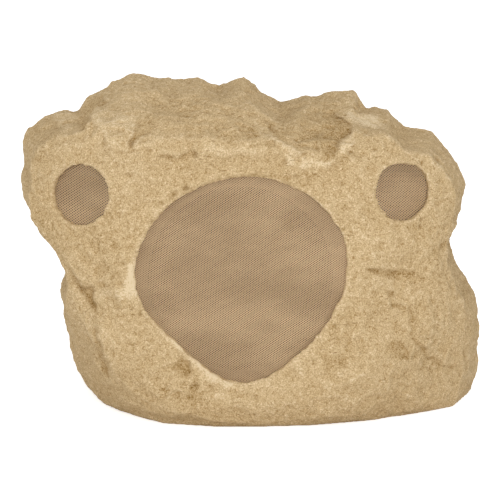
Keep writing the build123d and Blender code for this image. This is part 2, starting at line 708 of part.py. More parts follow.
def woofer_basket():
    """The pressed steel frame, open between its arms."""
    t = SHEET_STEEL
    slope = math.hypot(LANDING_INNER - SPIDER_SEAT_RADIUS, SPIDER_SEAT_DROP - LANDING_DROP)
    side = t * slope / (SPIDER_SEAT_DROP - LANDING_DROP)
    basket = turned([
        (FLANGE_RADIUS, 0), (LANDING_OUTER, 0),
        (LANDING_OUTER, -LANDING_DROP), (LANDING_INNER, -LANDING_DROP),
        (SPIDER_SEAT_RADIUS, -SPIDER_SEAT_DROP), (NECK_RADIUS, -SPIDER_SEAT_DROP),
        (NECK_RADIUS, -BASKET_DEPTH), (BASKET_FLOOR_RADIUS, -BASKET_DEPTH),
        (BASKET_FLOOR_RADIUS, -BASKET_DEPTH - t),
        (NECK_RADIUS + t, -BASKET_DEPTH - t), (NECK_RADIUS + t, -SPIDER_SEAT_DROP - t),
        (SPIDER_SEAT_RADIUS + side, -SPIDER_SEAT_DROP - t), (LANDING_INNER + side, -LANDING_DROP - t),
        (LANDING_OUTER + t, -LANDING_DROP - t), (LANDING_OUTER + t, -t), (FLANGE_RADIUS, -t),
    ])
    section = make_face(Polyline(
        (WINDOW_INNER, -BASKET_DEPTH), (WINDOW_OUTER, -BASKET_DEPTH), (WINDOW_OUTER, 0), (WINDOW_INNER, 0),
        close=True,
    ))
    window = revolve(Plane.XZ * section, axis=Axis.Z, revolution_arc=WINDOW_ANGLE)
    windows = [Rot(0, 0, 360 * i / WINDOWS) * window for i in range(WINDOWS)]
    hole = disc(WOOFER_SCREW[0] + CLEARANCE_FIT, -t, 0)
    return basket - windows - placed(circle_places(WOOFER_SCREW_CIRCLE, WOOFER_SCREWS), hole)


def half_roll(outer, roll_outer, roll_inner, inner, base, skin):
    """A rubber ring with one half round roll, standing on its flat edges."""
    middle = (roll_outer + roll_inner) / 2
    radius = (roll_outer - roll_inner) / 2
    foot = math.sqrt((radius + skin) ** 2 - skin ** 2)
    edges = [
        Line((inner, base), (roll_inner, base)),
        ThreePointArc((roll_inner, base), (middle, base + radius), (roll_outer, base)),
        Polyline((roll_outer, base), (outer, base), (outer, base + skin), (middle + foot, base + skin)),
        ThreePointArc(
            (middle + foot, base + skin), (middle, base + radius + skin), (middle - foot, base + skin)
        ),
        Polyline((middle - foot, base + skin), (inner, base + skin), (inner, base)),
    ]
    return revolve(Plane.XZ * make_face(edges), axis=Axis.Z)


def woofer_surround():
    """The rubber roll between the frame and the cone."""
    outer = LANDING_OUTER - CLEARANCE_FIT
    return half_roll(outer, ROLL_OUTER, CONE_RADIUS, CONE_RADIUS - CONE_LIP, -LANDING_DROP, SURROUND_SKIN)


def cone_height(radius):
    """Height of the cone's front at a radius."""
    edge = CONE_RADIUS - CONE_LIP
    neck = FORMER_RADIUS + FORMER_SKIN
    return -LANDING_DROP + (CONE_NECK_DROP - LANDING_DROP) * (radius - edge) / (edge - neck)


def woofer_cone():
    """The cone, from its flat lip under the surround to its neck on the coil former."""
    edge = CONE_RADIUS - CONE_LIP
    neck = FORMER_RADIUS + FORMER_SKIN + BOND_FIT
    return turned([
        (CONE_RADIUS, -LANDING_DROP), (edge, -LANDING_DROP), (neck, cone_height(neck)),
        (neck, cone_height(neck) - CONE_SKIN), (edge, -LANDING_DROP - CONE_SKIN),
        (CONE_RADIUS, -LANDING_DROP - CONE_SKIN),
    ])


def dome(radius, rise, skin, base):
    """A thin round cap standing on its rim."""
    inner_rise = rise - skin
    edges = [
        Line((0, base + inner_rise), (0, base + rise)),
        RadiusArc((0, base + rise), (radius, base), (radius ** 2 + rise ** 2) / (2 * rise)),
        Line((radius, base), (radius - skin, base)),
        RadiusArc(
            (radius - skin, base), (0, base + inner_rise),
            -((radius - skin) ** 2 + inner_rise ** 2) / (2 * inner_rise),
        ),
    ]
    return revolve(Plane.XZ * make_face(edges), axis=Axis.Z)


def woofer_dust_cap():
    """The cap over the coil, standing on the cone."""
    return dome(DUST_CAP_RADIUS, DUST_CAP_RISE, DUST_CAP_SKIN, cone_height(DUST_CAP_RADIUS) + BOND_FIT)


def former_top():
    """The coil former ends level with the cone's neck."""
    return cone_height(FORMER_RADIUS + FORMER_SKIN)


def woofer_coil_former():
    """The tube that carries the voice coil."""
    return ring(FORMER_RADIUS + FORMER_SKIN, FORMER_RADIUS, former_top() - FORMER_LENGTH, former_top())


def plate_front():
    """Height of the front of the top plate, against the basket's floor."""
    return -BASKET_DEPTH - SHEET_STEEL


def winding_radius():
    """Outside of the voice coil."""
    return FORMER_RADIUS + FORMER_SKIN + BOND_FIT + WINDING_SKIN


def woofer_coil_winding():
    """The copper winding, centred in the top plate's gap."""
    middle = plate_front() - TOP_PLATE_THICKNESS / 2
    inner = FORMER_RADIUS + FORMER_SKIN + BOND_FIT
    return ring(winding_radius(), inner, middle - WINDING_LENGTH / 2, middle + WINDING_LENGTH / 2)


def woofer_spider():
    """The corrugated cloth disc that centres the coil, on its seat in the basket."""
    inner = FORMER_RADIUS + FORMER_SKIN + CLEARANCE_FIT
    outer = SPIDER_SEAT_RADIUS - CLEARANCE_FIT
    first = inner + SPIDER_FLAT
    last = NECK_RADIUS - SPIDER_FLAT
    steps = SPIDER_WAVES * 4
    low = []
    for i in range(steps + 1):
        wave = SPIDER_WAVE_HEIGHT * math.sin(math.tau * SPIDER_WAVES * i / steps)
        low.append((first + (last - first) * i / steps, wave - SPIDER_SEAT_DROP))
    high = [(r, z + SPIDER_SKIN) for r, z in reversed(low)]
    flat = -SPIDER_SEAT_DROP
    edges = [
        Line((inner, flat), low[0]),
        Spline(*low),
        Polyline(low[-1], (outer, flat), (outer, flat + SPIDER_SKIN), high[0]),
        Spline(*high),
        Polyline(high[-1], (inner, flat + SPIDER_SKIN), (inner, flat)),
    ]
    return revolve(Plane.XZ * make_face(edges), axis=Axis.Z)


def woofer_top_plate():
    """The steel plate around the coil."""
    back = plate_front() - TOP_PLATE_THICKNESS
    return ring(TOP_PLATE_RADIUS, winding_radius() + COIL_GAP, back, plate_front())


def woofer_magnet():
    """The ferrite ring behind the top plate."""
    top = plate_front() - TOP_PLATE_THICKNESS
    return ring(MAGNET_RADIUS, MAGNET_BORE, top - MAGNET_HEIGHT, top)


def woofer_yoke():
    """The back plate with the pole inside the coil."""
    face = plate_front() - TOP_PLATE_THICKNESS - MAGNET_HEIGHT
    pole = FORMER_RADIUS - COIL_GAP
    return turned([
        (0, face - YOKE_THICKNESS), (YOKE_RADIUS, face - YOKE_THICKNESS), (YOKE_RADIUS, face), (pole, face),
        (pole, plate_front()), (0, plate_front()),
    ])


def woofer_tag_top():
    """Height of the tag board's front, under the spider's seat."""
    return -SPIDER_SEAT_DROP - SHEET_STEEL


def woofer_terminal_board():
    """A small tag board under the frame, at the bottom."""
    inner = NECK_RADIUS + SHEET_STEEL + CLEARANCE_FIT
    return Pos(0, -inner - TAG_LENGTH / 2, woofer_tag_top() - TAG_THICKNESS / 2) * Box(
        TAG_WIDTH, TAG_LENGTH, TAG_THICKNESS
    )


def woofer_screws():
    """Screws through the flange into the baffle."""
    one = screw(WOOFER_SCREW, WOOFER_GASKET + WOOFER_SCREW_BITE, -SHEET_STEEL)
    return group(placed(circle_places(WOOFER_SCREW_CIRCLE, WOOFER_SCREWS), one))


def woofer_pieces(seat):
    """The woofer's nodes, in the rock."""
    flange = -BAFFLE_THICKNESS - WOOFER_GASKET
    makers = (
        woofer_gasket, woofer_basket, woofer_surround, woofer_cone, woofer_dust_cap, woofer_coil_former,
        woofer_coil_winding, woofer_spider, woofer_top_plate, woofer_magnet, woofer_yoke,
        woofer_terminal_board, woofer_screws,
    )
    return {maker.__name__: seat.place(Pos(0, 0, flange) * maker()) for maker in makers}


# Tweeters, in heights from the land

FACE_FRONT = -TWEETER_GASKET
FACE_BACK = FACE_FRONT - FACEPLATE_THICKNESS
MOTOR_FRONT = FACE_BACK - DOME_SURROUND_SKIN
COIL_RADIUS = DOME_RADIUS + BOND_FIT


def tweeter_gasket(seat):
    """The flat seal in front of the faceplate."""
    gasket = slab(seat.radii, FACEPLATE_MARGIN, FACE_FRONT, 0)
    cuts = [slab(seat.radii, TWEETER_POCKET_MARGIN, FACE_FRONT, 0)]
    cuts += placed(tweeter_screw_places(seat), disc(TWEETER_SCREW[0] + CLEARANCE_FIT, FACE_FRONT, 0))
    return gasket - cuts


def tweeter_faceplate(seat):
    """The moulded plate with a flared mouth that presses the grille into the rock."""
    plate = slab(seat.radii, FACEPLATE_MARGIN, FACE_BACK, FACE_FRONT)
    plate += slab(seat.radii, TWEETER_POCKET_MARGIN - POCKET_FIT, FACE_FRONT, seat.grille_back)
    mouth = turned([
        (0, FACE_BACK), (WAVEGUIDE_THROAT, FACE_BACK),
        (WAVEGUIDE_MOUTH, seat.grille_back), (0, seat.grille_back),
    ])
    hole = disc(TWEETER_SCREW[0] + CLEARANCE_FIT, FACE_BACK, FACE_FRONT)
    return plate - [mouth, *placed(tweeter_screw_places(seat), hole)]


def tweeter_surround(seat):
    """The dome's roll, with its ring held between faceplate and top plate."""
    inner = DOME_RADIUS + BOND_FIT
    return half_roll(
        DOME_RING_OUTER, DOME_ROLL_OUTER, inner + DOME_SURROUND_SKIN, inner, MOTOR_FRONT, DOME_SURROUND_SKIN
    )


def tweeter_dome(seat):
    """The dome itself."""
    return dome(DOME_RADIUS, DOME_RISE, DOME_SKIN, MOTOR_FRONT)


def tweeter_coil_radius():
    """Inside of the voice coil, under the dome's rim."""
    return DOME_RADIUS - TWEETER_COIL_SKIN


def tweeter_voice_coil(seat):
    """The coil under the dome's rim."""
    top = MOTOR_FRONT - BOND_FIT
    return ring(DOME_RADIUS, tweeter_coil_radius(), top - TWEETER_COIL_LENGTH, top)


def tweeter_top_plate(seat):
    """The steel plate around the coil."""
    back = MOTOR_FRONT - TWEETER_PLATE_THICKNESS
    return ring(TWEETER_PLATE_RADIUS, DOME_RADIUS + TWEETER_COIL_GAP, back, MOTOR_FRONT)


def tweeter_magnet(seat):
    """The ferrite ring behind the top plate."""
    top = MOTOR_FRONT - TWEETER_PLATE_THICKNESS
    return ring(TWEETER_MAGNET_RADIUS, TWEETER_MAGNET_BORE, top - TWEETER_MAGNET_HEIGHT, top)


def tweeter_yoke(seat):
    """The back plate with the pole inside the coil."""
    face = MOTOR_FRONT - TWEETER_PLATE_THICKNESS - TWEETER_MAGNET_HEIGHT
    back = face - TWEETER_YOKE_THICKNESS
    pole = tweeter_coil_radius() - TWEETER_COIL_GAP
    return turned([
        (0, back), (TWEETER_YOKE_RADIUS, back), (TWEETER_YOKE_RADIUS, face), (pole, face),
        (pole, MOTOR_FRONT - TWEETER_COIL_GAP), (0, MOTOR_FRONT - TWEETER_COIL_GAP),
    ])


def tweeter_tag_place():
    """Where the tag board's middle lies below the tweeter's axis."""
    return TWEETER_MAGNET_RADIUS + CLEARANCE_FIT + TWEETER_TAG_LENGTH / 2


def tweeter_terminal_board(seat):
    """A small tag board behind the faceplate, at the bottom."""
    return Pos(0, -tweeter_tag_place(), FACE_BACK - TAG_THICKNESS / 2) * Box(
        TWEETER_TAG_WIDTH, TWEETER_TAG_LENGTH, TAG_THICKNESS
    )


def tweeter_screws(seat):
    """Screws through the faceplate into the rock."""
    return group(placed(tweeter_screw_places(seat), screw(TWEETER_SCREW, TWEETER_SCREW_BITE, FACE_BACK)))


def tweeter_pieces(side, seat):
    """One tweeter's nodes, in the rock."""
    makers = (
        tweeter_gasket, tweeter_faceplate, tweeter_surround, tweeter_dome, tweeter_voice_coil,
        tweeter_top_plate, tweeter_magnet, tweeter_yoke, tweeter_terminal_board, tweeter_screws,
    )
    return {f"{side}_{maker.__name__}": seat.place(maker(seat)) for maker in makers}


# Crossover board

def on_board(x, y, shape):
    """A shape standing on the crossover board."""
    return Pos(BASE_X + x, BASE_Y + y, BOARD_TOP) * shape


def standing_box(size):
    """A box that stands on the ground plane."""
    return Pos(0, 0, size[2] / 2) * Box(*size)


def crossover_board():
    """The printed board on the base plate's bosses."""
    board = Pos(BASE_X, BASE_Y, BOARD_BOTTOM) * standing_box((BOARD_WIDTH, BOARD_LENGTH, BOARD_THICKNESS))
    hole = disc(BOARD_SCREW[0] + CLEARANCE_FIT, BOARD_BOTTOM, BOARD_TOP)
    return board - placed(board_screw_places(), hole)


def crossover_screws():
    """Screws from above, into the bosses."""
    one = Rot(180, 0, 0) * screw(BOARD_SCREW, BOARD_THICKNESS + BOARD_SCREW_BITE, 0)
    return group([Pos(x, y, BOARD_TOP) * one for x, y in board_screw_places()])


def terminal_block(ways):
    """A screw terminal strip with one screw well per way."""
    block = standing_box((ways * BLOCK_PITCH, BLOCK_DEPTH, BLOCK_HEIGHT))
    well = disc(BLOCK_SCREW_RADIUS, BLOCK_HEIGHT - BLOCK_SCREW_DEPTH, BLOCK_HEIGHT)
    places = [((i - (ways - 1) / 2) * BLOCK_PITCH, BLOCK_WELL_Y) for i in range(ways)]
    return block - placed(places, well)


def crossover_pieces():
    """The board, its screws and the parts that stand on it."""
    inductor = ring(INDUCTOR_RADIUS, INDUCTOR_BORE, 0, INDUCTOR_HEIGHT)
    capacitor = standing_box(CAPACITOR_SIZE)
    resistor = standing_box(RESISTOR_SIZE)
    pieces = {"crossover_board": crossover_board(), "crossover_screws": crossover_screws()}
    for side, sign in (("left", -1), ("right", 1)):
        pieces[f"{side}_woofer_inductor"] = on_board(sign * INDUCTOR_X, INDUCTOR_Y, inductor)
        pieces[f"{side}_tweeter_capacitor"] = on_board(sign * PAIR_X, CAPACITOR_Y, capacitor)
        pieces[f"{side}_tweeter_resistor"] = on_board(sign * PAIR_X, RESISTOR_Y, resistor)
    pieces["output_terminal_block"] = on_board(-BLOCK_X, BLOCK_Y, terminal_block(OUTPUT_WAYS))
    pieces["input_terminal_block"] = on_board(BLOCK_X, BLOCK_Y, terminal_block(INPUT_WAYS))
    return pieces


# Cable gland, in heights from its flat spot on the rock

def hexagon(radius, low, high):
    """A hexagonal prism about Z, radius to its flats."""
    return Pos(0, 0, low) * extrude(RegularPolygon(radius, 6, major_radius=False), amount=high - low)


def gland_body():
    """The threaded body through the rock's wall."""
    end = -GLAND_PAD_THICKNESS - LOCKNUT_HEIGHT - THREAD_RUNOUT
    top = GLAND_FLANGE + GLAND_NECK_LENGTH
    body = hexagon(GLAND_HEX, 0, GLAND_FLANGE) + disc(GLAND_THREAD, end, 0)
    body += disc(GLAND_NECK, GLAND_FLANGE, top)
    return body - [disc(GLAND_BORE, end, top), disc(GLAND_MOUTH, GLAND_FLANGE, top)]


def gland_locknut():
    """The nut inside the rock."""
    low = -GLAND_PAD_THICKNESS - LOCKNUT_HEIGHT
    nut = hexagon(LOCKNUT_HEX, low, -GLAND_PAD_THICKNESS)
    return nut - disc(GLAND_THREAD + BOND_FIT, low, -GLAND_PAD_THICKNESS)


def gland_seal():
    """The rubber bush that grips the cable."""
    return ring(GLAND_MOUTH - BOND_FIT, SEAL_BORE, GLAND_FLANGE, GLAND_FLANGE + SEAL_LENGTH)


def gland_cap():
    """The cap that squeezes the seal."""
    low = GLAND_FLANGE + CLEARANCE_FIT
    inside = GLAND_FLANGE + GLAND_NECK_LENGTH + BOND_FIT
    top = inside + CAP_END
    return turned([
        (GLAND_NECK + BOND_FIT, low), (GLAND_HEX, low), (GLAND_HEX, inside), (CAP_LIP, top),
        (CAP_HOLE, top), (CAP_HOLE, inside), (GLAND_NECK + BOND_FIT, inside),
    ])


def gland_pieces(plane):
    """The gland's nodes, in the back of the rock."""
    makers = (gland_body, gland_locknut, gland_seal, gland_cap)
    return {maker.__name__: plane.location * maker() for maker in makers}


# Leads from the tag boards to the crossover

def lead(points):
    """A round lead along straight runs joined by arcs."""
    path = FilletPolyline(*points, radius=LEAD_BEND)
    return sweep(Plane(origin=path @ 0, z_dir=path % 0) * Circle(LEAD_RADIUS), path=path)


def lead_pieces(layout):
    """The three leads, each ending on its own pair of ways of the output strip."""
    strip = Vector(BASE_X - BLOCK_X, BASE_Y + BLOCK_Y - BLOCK_WELL_Y, BOARD_TOP + BLOCK_HEIGHT)
    pair = Vector(2 * BLOCK_PITCH, 0, 0)
    blocks = {"left": strip - pair, "woofer": strip, "right": strip + pair}
    up = Vector(0, 0, LEAD_RISE)
    pieces = {}

    tag = -BAFFLE_THICKNESS - WOOFER_GASKET + woofer_tag_top() - TAG_THICKNESS
    reach = NECK_RADIUS + SHEET_STEEL + TAG_LENGTH - 2 * LEAD_RADIUS
    start = layout.woofer.at(0, -reach, tag)
    back = layout.woofer.at(0, -reach, tag - LEAD_START)
    pieces["woofer_lead"] = lead([start, back, blocks["woofer"] + up, blocks["woofer"]])

    for side, sign in (("left", -1), ("right", 1)):
        seat = layout.tweeters[side]
        start = seat.at(0, -tweeter_tag_place(), FACE_BACK - TAG_THICKNESS)
        back = seat.at(0, -tweeter_tag_place(), FACE_BACK - TAG_THICKNESS - LEAD_START)
        corner = Vector(sign * LEAD_SIDE_X, LEAD_SIDE_Y, LEAD_SIDE_Z)
        pieces[f"{side}_tweeter_lead"] = lead([start, back, corner, blocks[side] + up, blocks[side]])
    return pieces


def all_pieces(layout):
    """Every node of the speaker by name."""
    pieces = {
        "rock_shell": rock_shell(layout),
        "base_plate": base_plate(),
        "base_gasket": base_gasket(),
        "base_screws": base_screws(),
        "woofer_grille": grille(layout.woofer, WOOFER_POCKET_MARGIN),
        "woofer_baffle": woofer_baffle(layout.woofer),
        "baffle_screws": baffle_screws(layout.woofer),
    }
    pieces.update(woofer_pieces(layout.woofer))
    for side, seat in layout.tweeters.items():
        pieces[f"{side}_tweeter_grille"] = grille(seat, TWEETER_POCKET_MARGIN)
        pieces.update(tweeter_pieces(side, seat))
    pieces.update(crossover_pieces())
    pieces.update(gland_pieces(layout.gland))
    pieces.update(lead_pieces(layout))
    return pieces


def main():
    os.makedirs("parts", exist_ok=True)
    for name, piece in all_pieces(Layout()).items():
        export_step(piece, f"parts/{name}.step")


if __name__ == "__main__":
    main()
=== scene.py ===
import json
import math

import bpy
import numpy as np
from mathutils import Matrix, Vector, noise
from mathutils.bvhtree import BVHTree


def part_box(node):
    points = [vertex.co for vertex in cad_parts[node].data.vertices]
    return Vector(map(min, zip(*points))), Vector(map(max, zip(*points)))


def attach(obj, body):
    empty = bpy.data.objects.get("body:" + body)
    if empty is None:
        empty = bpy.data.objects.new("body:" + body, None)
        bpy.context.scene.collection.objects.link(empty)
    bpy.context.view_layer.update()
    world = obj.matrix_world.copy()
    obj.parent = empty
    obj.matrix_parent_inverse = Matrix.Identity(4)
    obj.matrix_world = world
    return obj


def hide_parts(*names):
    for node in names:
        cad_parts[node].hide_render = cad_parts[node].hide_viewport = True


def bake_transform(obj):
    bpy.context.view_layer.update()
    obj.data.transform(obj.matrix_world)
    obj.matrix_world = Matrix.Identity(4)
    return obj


# The looks of a garden speaker in a cast rock. Metres, in the frame of its solids: -Y is the front.

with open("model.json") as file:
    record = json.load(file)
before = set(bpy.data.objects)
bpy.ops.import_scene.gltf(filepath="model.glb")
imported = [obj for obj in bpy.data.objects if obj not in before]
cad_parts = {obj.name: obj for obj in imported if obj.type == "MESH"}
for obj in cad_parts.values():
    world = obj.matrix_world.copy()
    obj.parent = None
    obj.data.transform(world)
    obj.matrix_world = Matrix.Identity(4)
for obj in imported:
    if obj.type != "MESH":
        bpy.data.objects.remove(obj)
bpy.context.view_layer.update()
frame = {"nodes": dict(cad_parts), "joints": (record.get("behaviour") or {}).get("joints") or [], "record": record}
NODES = frame["nodes"]
CABINET = "cabinet"

# Grille nodes, and the perforated sheets that replace them
GRILLES = {
    "woofer_grille": "woofer_mesh",
    "left_tweeter_grille": "left_tweeter_mesh",
    "right_tweeter_grille": "right_tweeter_mesh",
}

# The noise's own offsets, so that every run gives the same rock
NOISE_SEED = 3
noise.seed_set(NOISE_SEED)

# Camera, from the photo's frame
IMAGE_SIZE = 500
CAMERA_ELEVATION = math.radians(12.0)
CAMERA_DISTANCE = 2.40
CAMERA_TARGET = Vector((-0.0019, -0.0051, 0.1392))
PIXELS_PER_METRE = 986.0
SENSOR_WIDTH = 36.0

# Rock mesh: its spacing, how far its skin may lie from the solid's, where its inside and its rear start and
# the share of faces kept there, how far a surface is searched for, and its smoothing
VOXEL = 0.00195
OUTER_REACH = 0.0022
INNER_START = 1.5 * OUTER_REACH
INNER_KEPT = 0.025
REAR_START = -0.02
REAR_KEPT = 0.14
SEARCH_REACH = 0.05
SMOOTHING_ROUNDS = 10
SMOOTHING_STEPS = (0.50, -0.51)

# Lines of sight that tell which faces of the solid are outside: their start off the face,
# how far they lean, the least length of one before it is set to 1, and the leans
SIGHT_START = 0.0005
SIGHT_LEAN = 0.9
SIGHT_LEAST = 0.1
LEANS = ((0, 0, 0), (1, 0, 0), (-1, 0, 0), (0, 1, 0), (0, -1, 0), (0, 0, 1))

# The ring of rock that fills the pocket around each grille
RING_BELOW = 0.010
RING_ABOVE = 0.0025
RING_OVERLAP = 0.0015
POCKET_WIDTH = {"woofer_grille": 0.0066, "left_tweeter_grille": 0.0036, "right_tweeter_grille": 0.0036}

# Where the relief fades out: distance from the grilles, from the gland and above the ground
GRILLE_FADE = (0.001, 0.004)
GLAND_FADE = (0.001, 0.008)
GROUND_FADE = (0.0, 0.006)

# Rock relief: wavelength and height of each layer of noise, with chips in three sizes
LUMPS = (0.070, 0.0012)
CHIPS = ((0.048, 0.0042), (0.022, 0.0022), (0.0095, 0.0012))
LEDGES = (0.040, 0.0016)
LEDGE_STRETCH = (0.6, 0.6, 1.6)
GRAIN = (0.0056, 0.0007)

# How each layer is built up: fall of its height, fineness of each octave, octaves, ledges' offset and gain.
# For chips: octaves, and with sharp creases.
LUMP_NOISE = (0.9, 2.0, 2)
CHIP_NOISE = (2, True)
LEDGE_NOISE = (1.0, 2.0, 3, 1.0, 2.0)
GRAIN_NOISE = (0.6, 2.0, 2)

# Where the chipped and the ledged layers have their middle, and how ledges rise
CHIP_MIDDLE = 0.35
LEDGE_MIDDLE = 0.55
LEDGE_SLOPE = 0.5
LEDGE_LIMIT = 2.0

# How uneven the rock's edges around the grilles are: wavelength, reach, and how far from the edge
RIM_UNEVEN = (0.0065, 0.0016)
RIM_REACH = 0.008

# How lines wander: wavelength and reach, and the share of it that plates and pits take
WANDER = (0.016, 0.0045)
PLATE_WANDER = 0.5
PIT_WANDER = 0.4

# How unevenly cracks and plates show: wavelength, middle and slope
UNEVEN = 0.011
UNEVEN_MIDDLE = 0.6
UNEVEN_SLOPE = 0.8

# The raised lip above a crack: share of its depth, and its rise and width in half widths of the crack
LIP_SHARE = 0.6
LIP_RISE = 1.5
LIP_WIDTH = 1.5

# Plates of the rock with crisp edges: photo points around each, a point on its shallow and one on its deep
# side, how deep it lies there (below 0 stands out) and how pale it is (below 0 is darker); the pale tones of the
# lit rim plates and of the ledge above the hollow are painted light, the dark tones of the hollow and of the
# woofer's brow
# painted shade. For all of them: the edge's width and half the width of the tone's edge in pixels, how far the
# rock has to face the camera, and the share of the tone that is even.
PLATE_EDGE = 3.0
PLATE_FADE = 5.0
PLATE_FACING = 0.25
PLATE_EVEN = 0.3
PLATES = {
    # dark tone: painted shade in the big hollow, which is also pressed in
    "hollow": (
        ((321, 109), (331, 110), (343, 117), (351, 127), (351, 133), (343, 138), (339, 147), (335, 158),
         (326, 160), (319, 152), (317, 135), (318, 118)), (316, 142), (349, 127), 0.0080, -0.24),
    "hollow_slope": (
        ((283, 108), (300, 104), (318, 108), (318, 152), (300, 146), (285, 132)),
        (284, 118), (318, 132), 0.0040, -0.07),
    "hollow_cheek": (
        ((340, 140), (352, 133), (355, 141), (352, 152), (343, 156), (338, 150)),
        (354, 150), (340, 142), -0.0020, 0.30),
    # pale tone: painted light on the ledge above the hollow, which faces up
    "lit_hollow_ledge": (
        ((346, 113), (360, 116), (376, 118), (384, 124), (370, 125), (352, 122)),
        (384, 122), (348, 117), -0.0030, 0.77),
    "hollow_foot": (
        ((286, 152), (300, 158), (320, 161), (336, 162), (330, 167), (305, 169), (288, 165)),
        (300, 150), (300, 168), -0.0020, 0.42),
    "fold_wall": (
        ((92, 96), (101, 95), (106, 101), (96, 107), (91, 114), (91, 121), (82, 129), (80, 122), (84, 108)),
        (84, 104), (93, 114), 0.0050, -0.16),
    "left_plate": (
        ((91, 115), (96, 109), (110, 110), (125, 114), (134, 118), (137, 124), (133, 133), (118, 129),
         (104, 127), (95, 124)), (134, 130), (92, 114), -0.0030, 0.22),
    "plate_step": (
        ((138, 122), (146, 117), (156, 120), (161, 128), (150, 133), (141, 137), (134, 142), (129, 147),
         (128, 141), (133, 133)), (162, 126), (129, 143), 0.0050, -0.14),
    "brow_step": (
        ((163, 158), (178, 157), (190, 150), (199, 152), (196, 160), (184, 162), (168, 162)),
        (180, 166), (180, 154), 0.0022, -0.04),
    "shoulder_face": (
        ((26, 132), (36, 126), (54, 120), (66, 134), (70, 142), (52, 146), (30, 144)),
        (60, 124), (34, 140), 0.0030, -0.04),
    "shoulder_top": (
        ((55, 115), (66, 112), (78, 113), (76, 124), (68, 132), (58, 124)),
        (68, 130), (66, 113), -0.0020, 0.19),
    "left_notch": (
        ((79, 288), (85, 285), (93, 287), (93, 300), (91, 309), (85, 302)),
        (78, 300), (91, 290), 0.0060, -0.35),
    "left_streak": (
        ((91, 300), (97, 304), (99, 325), (103, 350), (107, 372), (102, 377), (97, 352), (93, 326)),
        (92, 330), (102, 340), 0.0020, -0.16),
    "left_low_plate": (
        ((96, 288), (117, 286), (118, 297), (100, 299)), (96, 298), (117, 288), -0.0020, 0.19),
    # pale tone: painted light on the lit cut edge of the woofer's left rim
    "lit_rim_patch": (
        ((127, 265), (134, 262), (136, 280), (137, 298), (121, 297), (119, 289), (127, 280)),
        (120, 294), (136, 270), -0.0010, 0.69),
    # pale tone: painted light on the lit cut edge along the woofer's lower-left rim
    "lit_rim_band": (
        ((161, 328), (166, 325), (184, 341), (202, 357), (224, 377), (233, 386), (226, 390), (206, 376),
         (190, 360), (174, 345)), (180, 360), (200, 350), -0.0010, 0.54),
    "below_grille_left": (
        ((178, 358), (189, 361), (191, 372), (185, 377), (172, 367)), (172, 372), (189, 364), 0.0040, -0.26),
    "below_grille_low": (
        ((195, 380), (200, 385), (193, 401), (188, 397), (190, 386)), (189, 398), (197, 383), 0.0030, -0.26),
    "low_spot": (((166, 384), (169, 390), (164, 399), (160, 391)), (164, 400), (166, 386), 0.0020, -0.17),
    "pale_fleck": (((213, 394), (222, 392), (224, 399), (215, 399)), (214, 399), (222, 393), -0.0010, 0.58),
    "right_wedge": (
        ((409, 306), (416, 318), (418, 334), (426, 345), (430, 358), (440, 362), (456, 368), (440, 369),
         (424, 362), (413, 338), (408, 320)), (430, 340), (410, 340), 0.0030, -0.14),
    "right_stain": (
        ((388, 345), (399, 340), (408, 350), (409, 359), (396, 359), (389, 353)),
        (388, 356), (404, 346), 0.0030, -0.32),
    "below_grille_right": (
        ((318, 353), (332, 357), (346, 358), (347, 366), (326, 369)), (320, 368), (344, 360), 0.0020, -0.22),
    "right_gash": (
        ((369, 268), (378, 270), (398, 268), (414, 271), (425, 280), (412, 283), (398, 278), (384, 276),
         (371, 273)), (398, 284), (398, 268), 0.0026, -0.30),
    "right_spot": (
        ((386, 290), (395, 292), (394, 302), (404, 306), (409, 313), (398, 309), (390, 304)),
        (388, 306), (396, 294), 0.0030, -0.19),
    "notch_stain": (
        ((431, 250), (440, 245), (446, 241), (446, 247), (436, 254)), (434, 254), (444, 242), 0.0020, -0.30),
    "flank_stain": (((462, 281), (468, 291), (465, 301), (461, 295)), (462, 298), (467, 288), 0.0020, -0.24),
    "brow_patch": (
        ((238, 124), (252, 128), (258, 134), (250, 139), (242, 136)), (244, 138), (250, 127), 0.0030, -0.14),
    "brow_pit": (((266, 142), (276, 139), (274, 148), (268, 150)), (268, 150), (274, 140), 0.0030, -0.22),
    "brow_dip": (
        ((266, 120), (278, 128), (288, 134), (286, 138), (272, 132)), (286, 136), (268, 122), 0.0040, -0.17),
    "brow_crest": (
        ((256, 122), (270, 132), (290, 144), (302, 154), (296, 156), (280, 147), (262, 134)),
        (270, 142), (284, 138), -0.0030, 0.30),
    "pale_brow": (
        ((204, 142), (226, 148), (256, 150), (256, 156), (228, 156), (206, 152)),
        (230, 158), (230, 144), -0.0010, 0.27),
    # dark tone: painted shadow along the woofer's top rim
    "woofer_brow_shadow": (
        ((226, 174), (262, 172), (288, 176), (292, 181), (262, 177), (228, 179)),
        (260, 170), (260, 178), 0.0010, -0.20),
}

# Small pits of the rock: column and row in the photo
PIT_RADIUS = 0.0034
PIT_DEPTH = 0.0018
PIT_DARK = 0.65
PITS = (
    (269, 124), (285, 161), (304, 154), (296, 176), (350, 152), (379, 125), (375, 148), (423, 164),
    (438, 159), (342, 183), (422, 220), (420, 227), (390, 294), (393, 305), (140, 314), (147, 320),
    (124, 264), (112, 277), (189, 397), (335, 326), (348, 324), (176, 194), (186, 188), (152, 222),
    (240, 130), (161, 203), (308, 180),
)
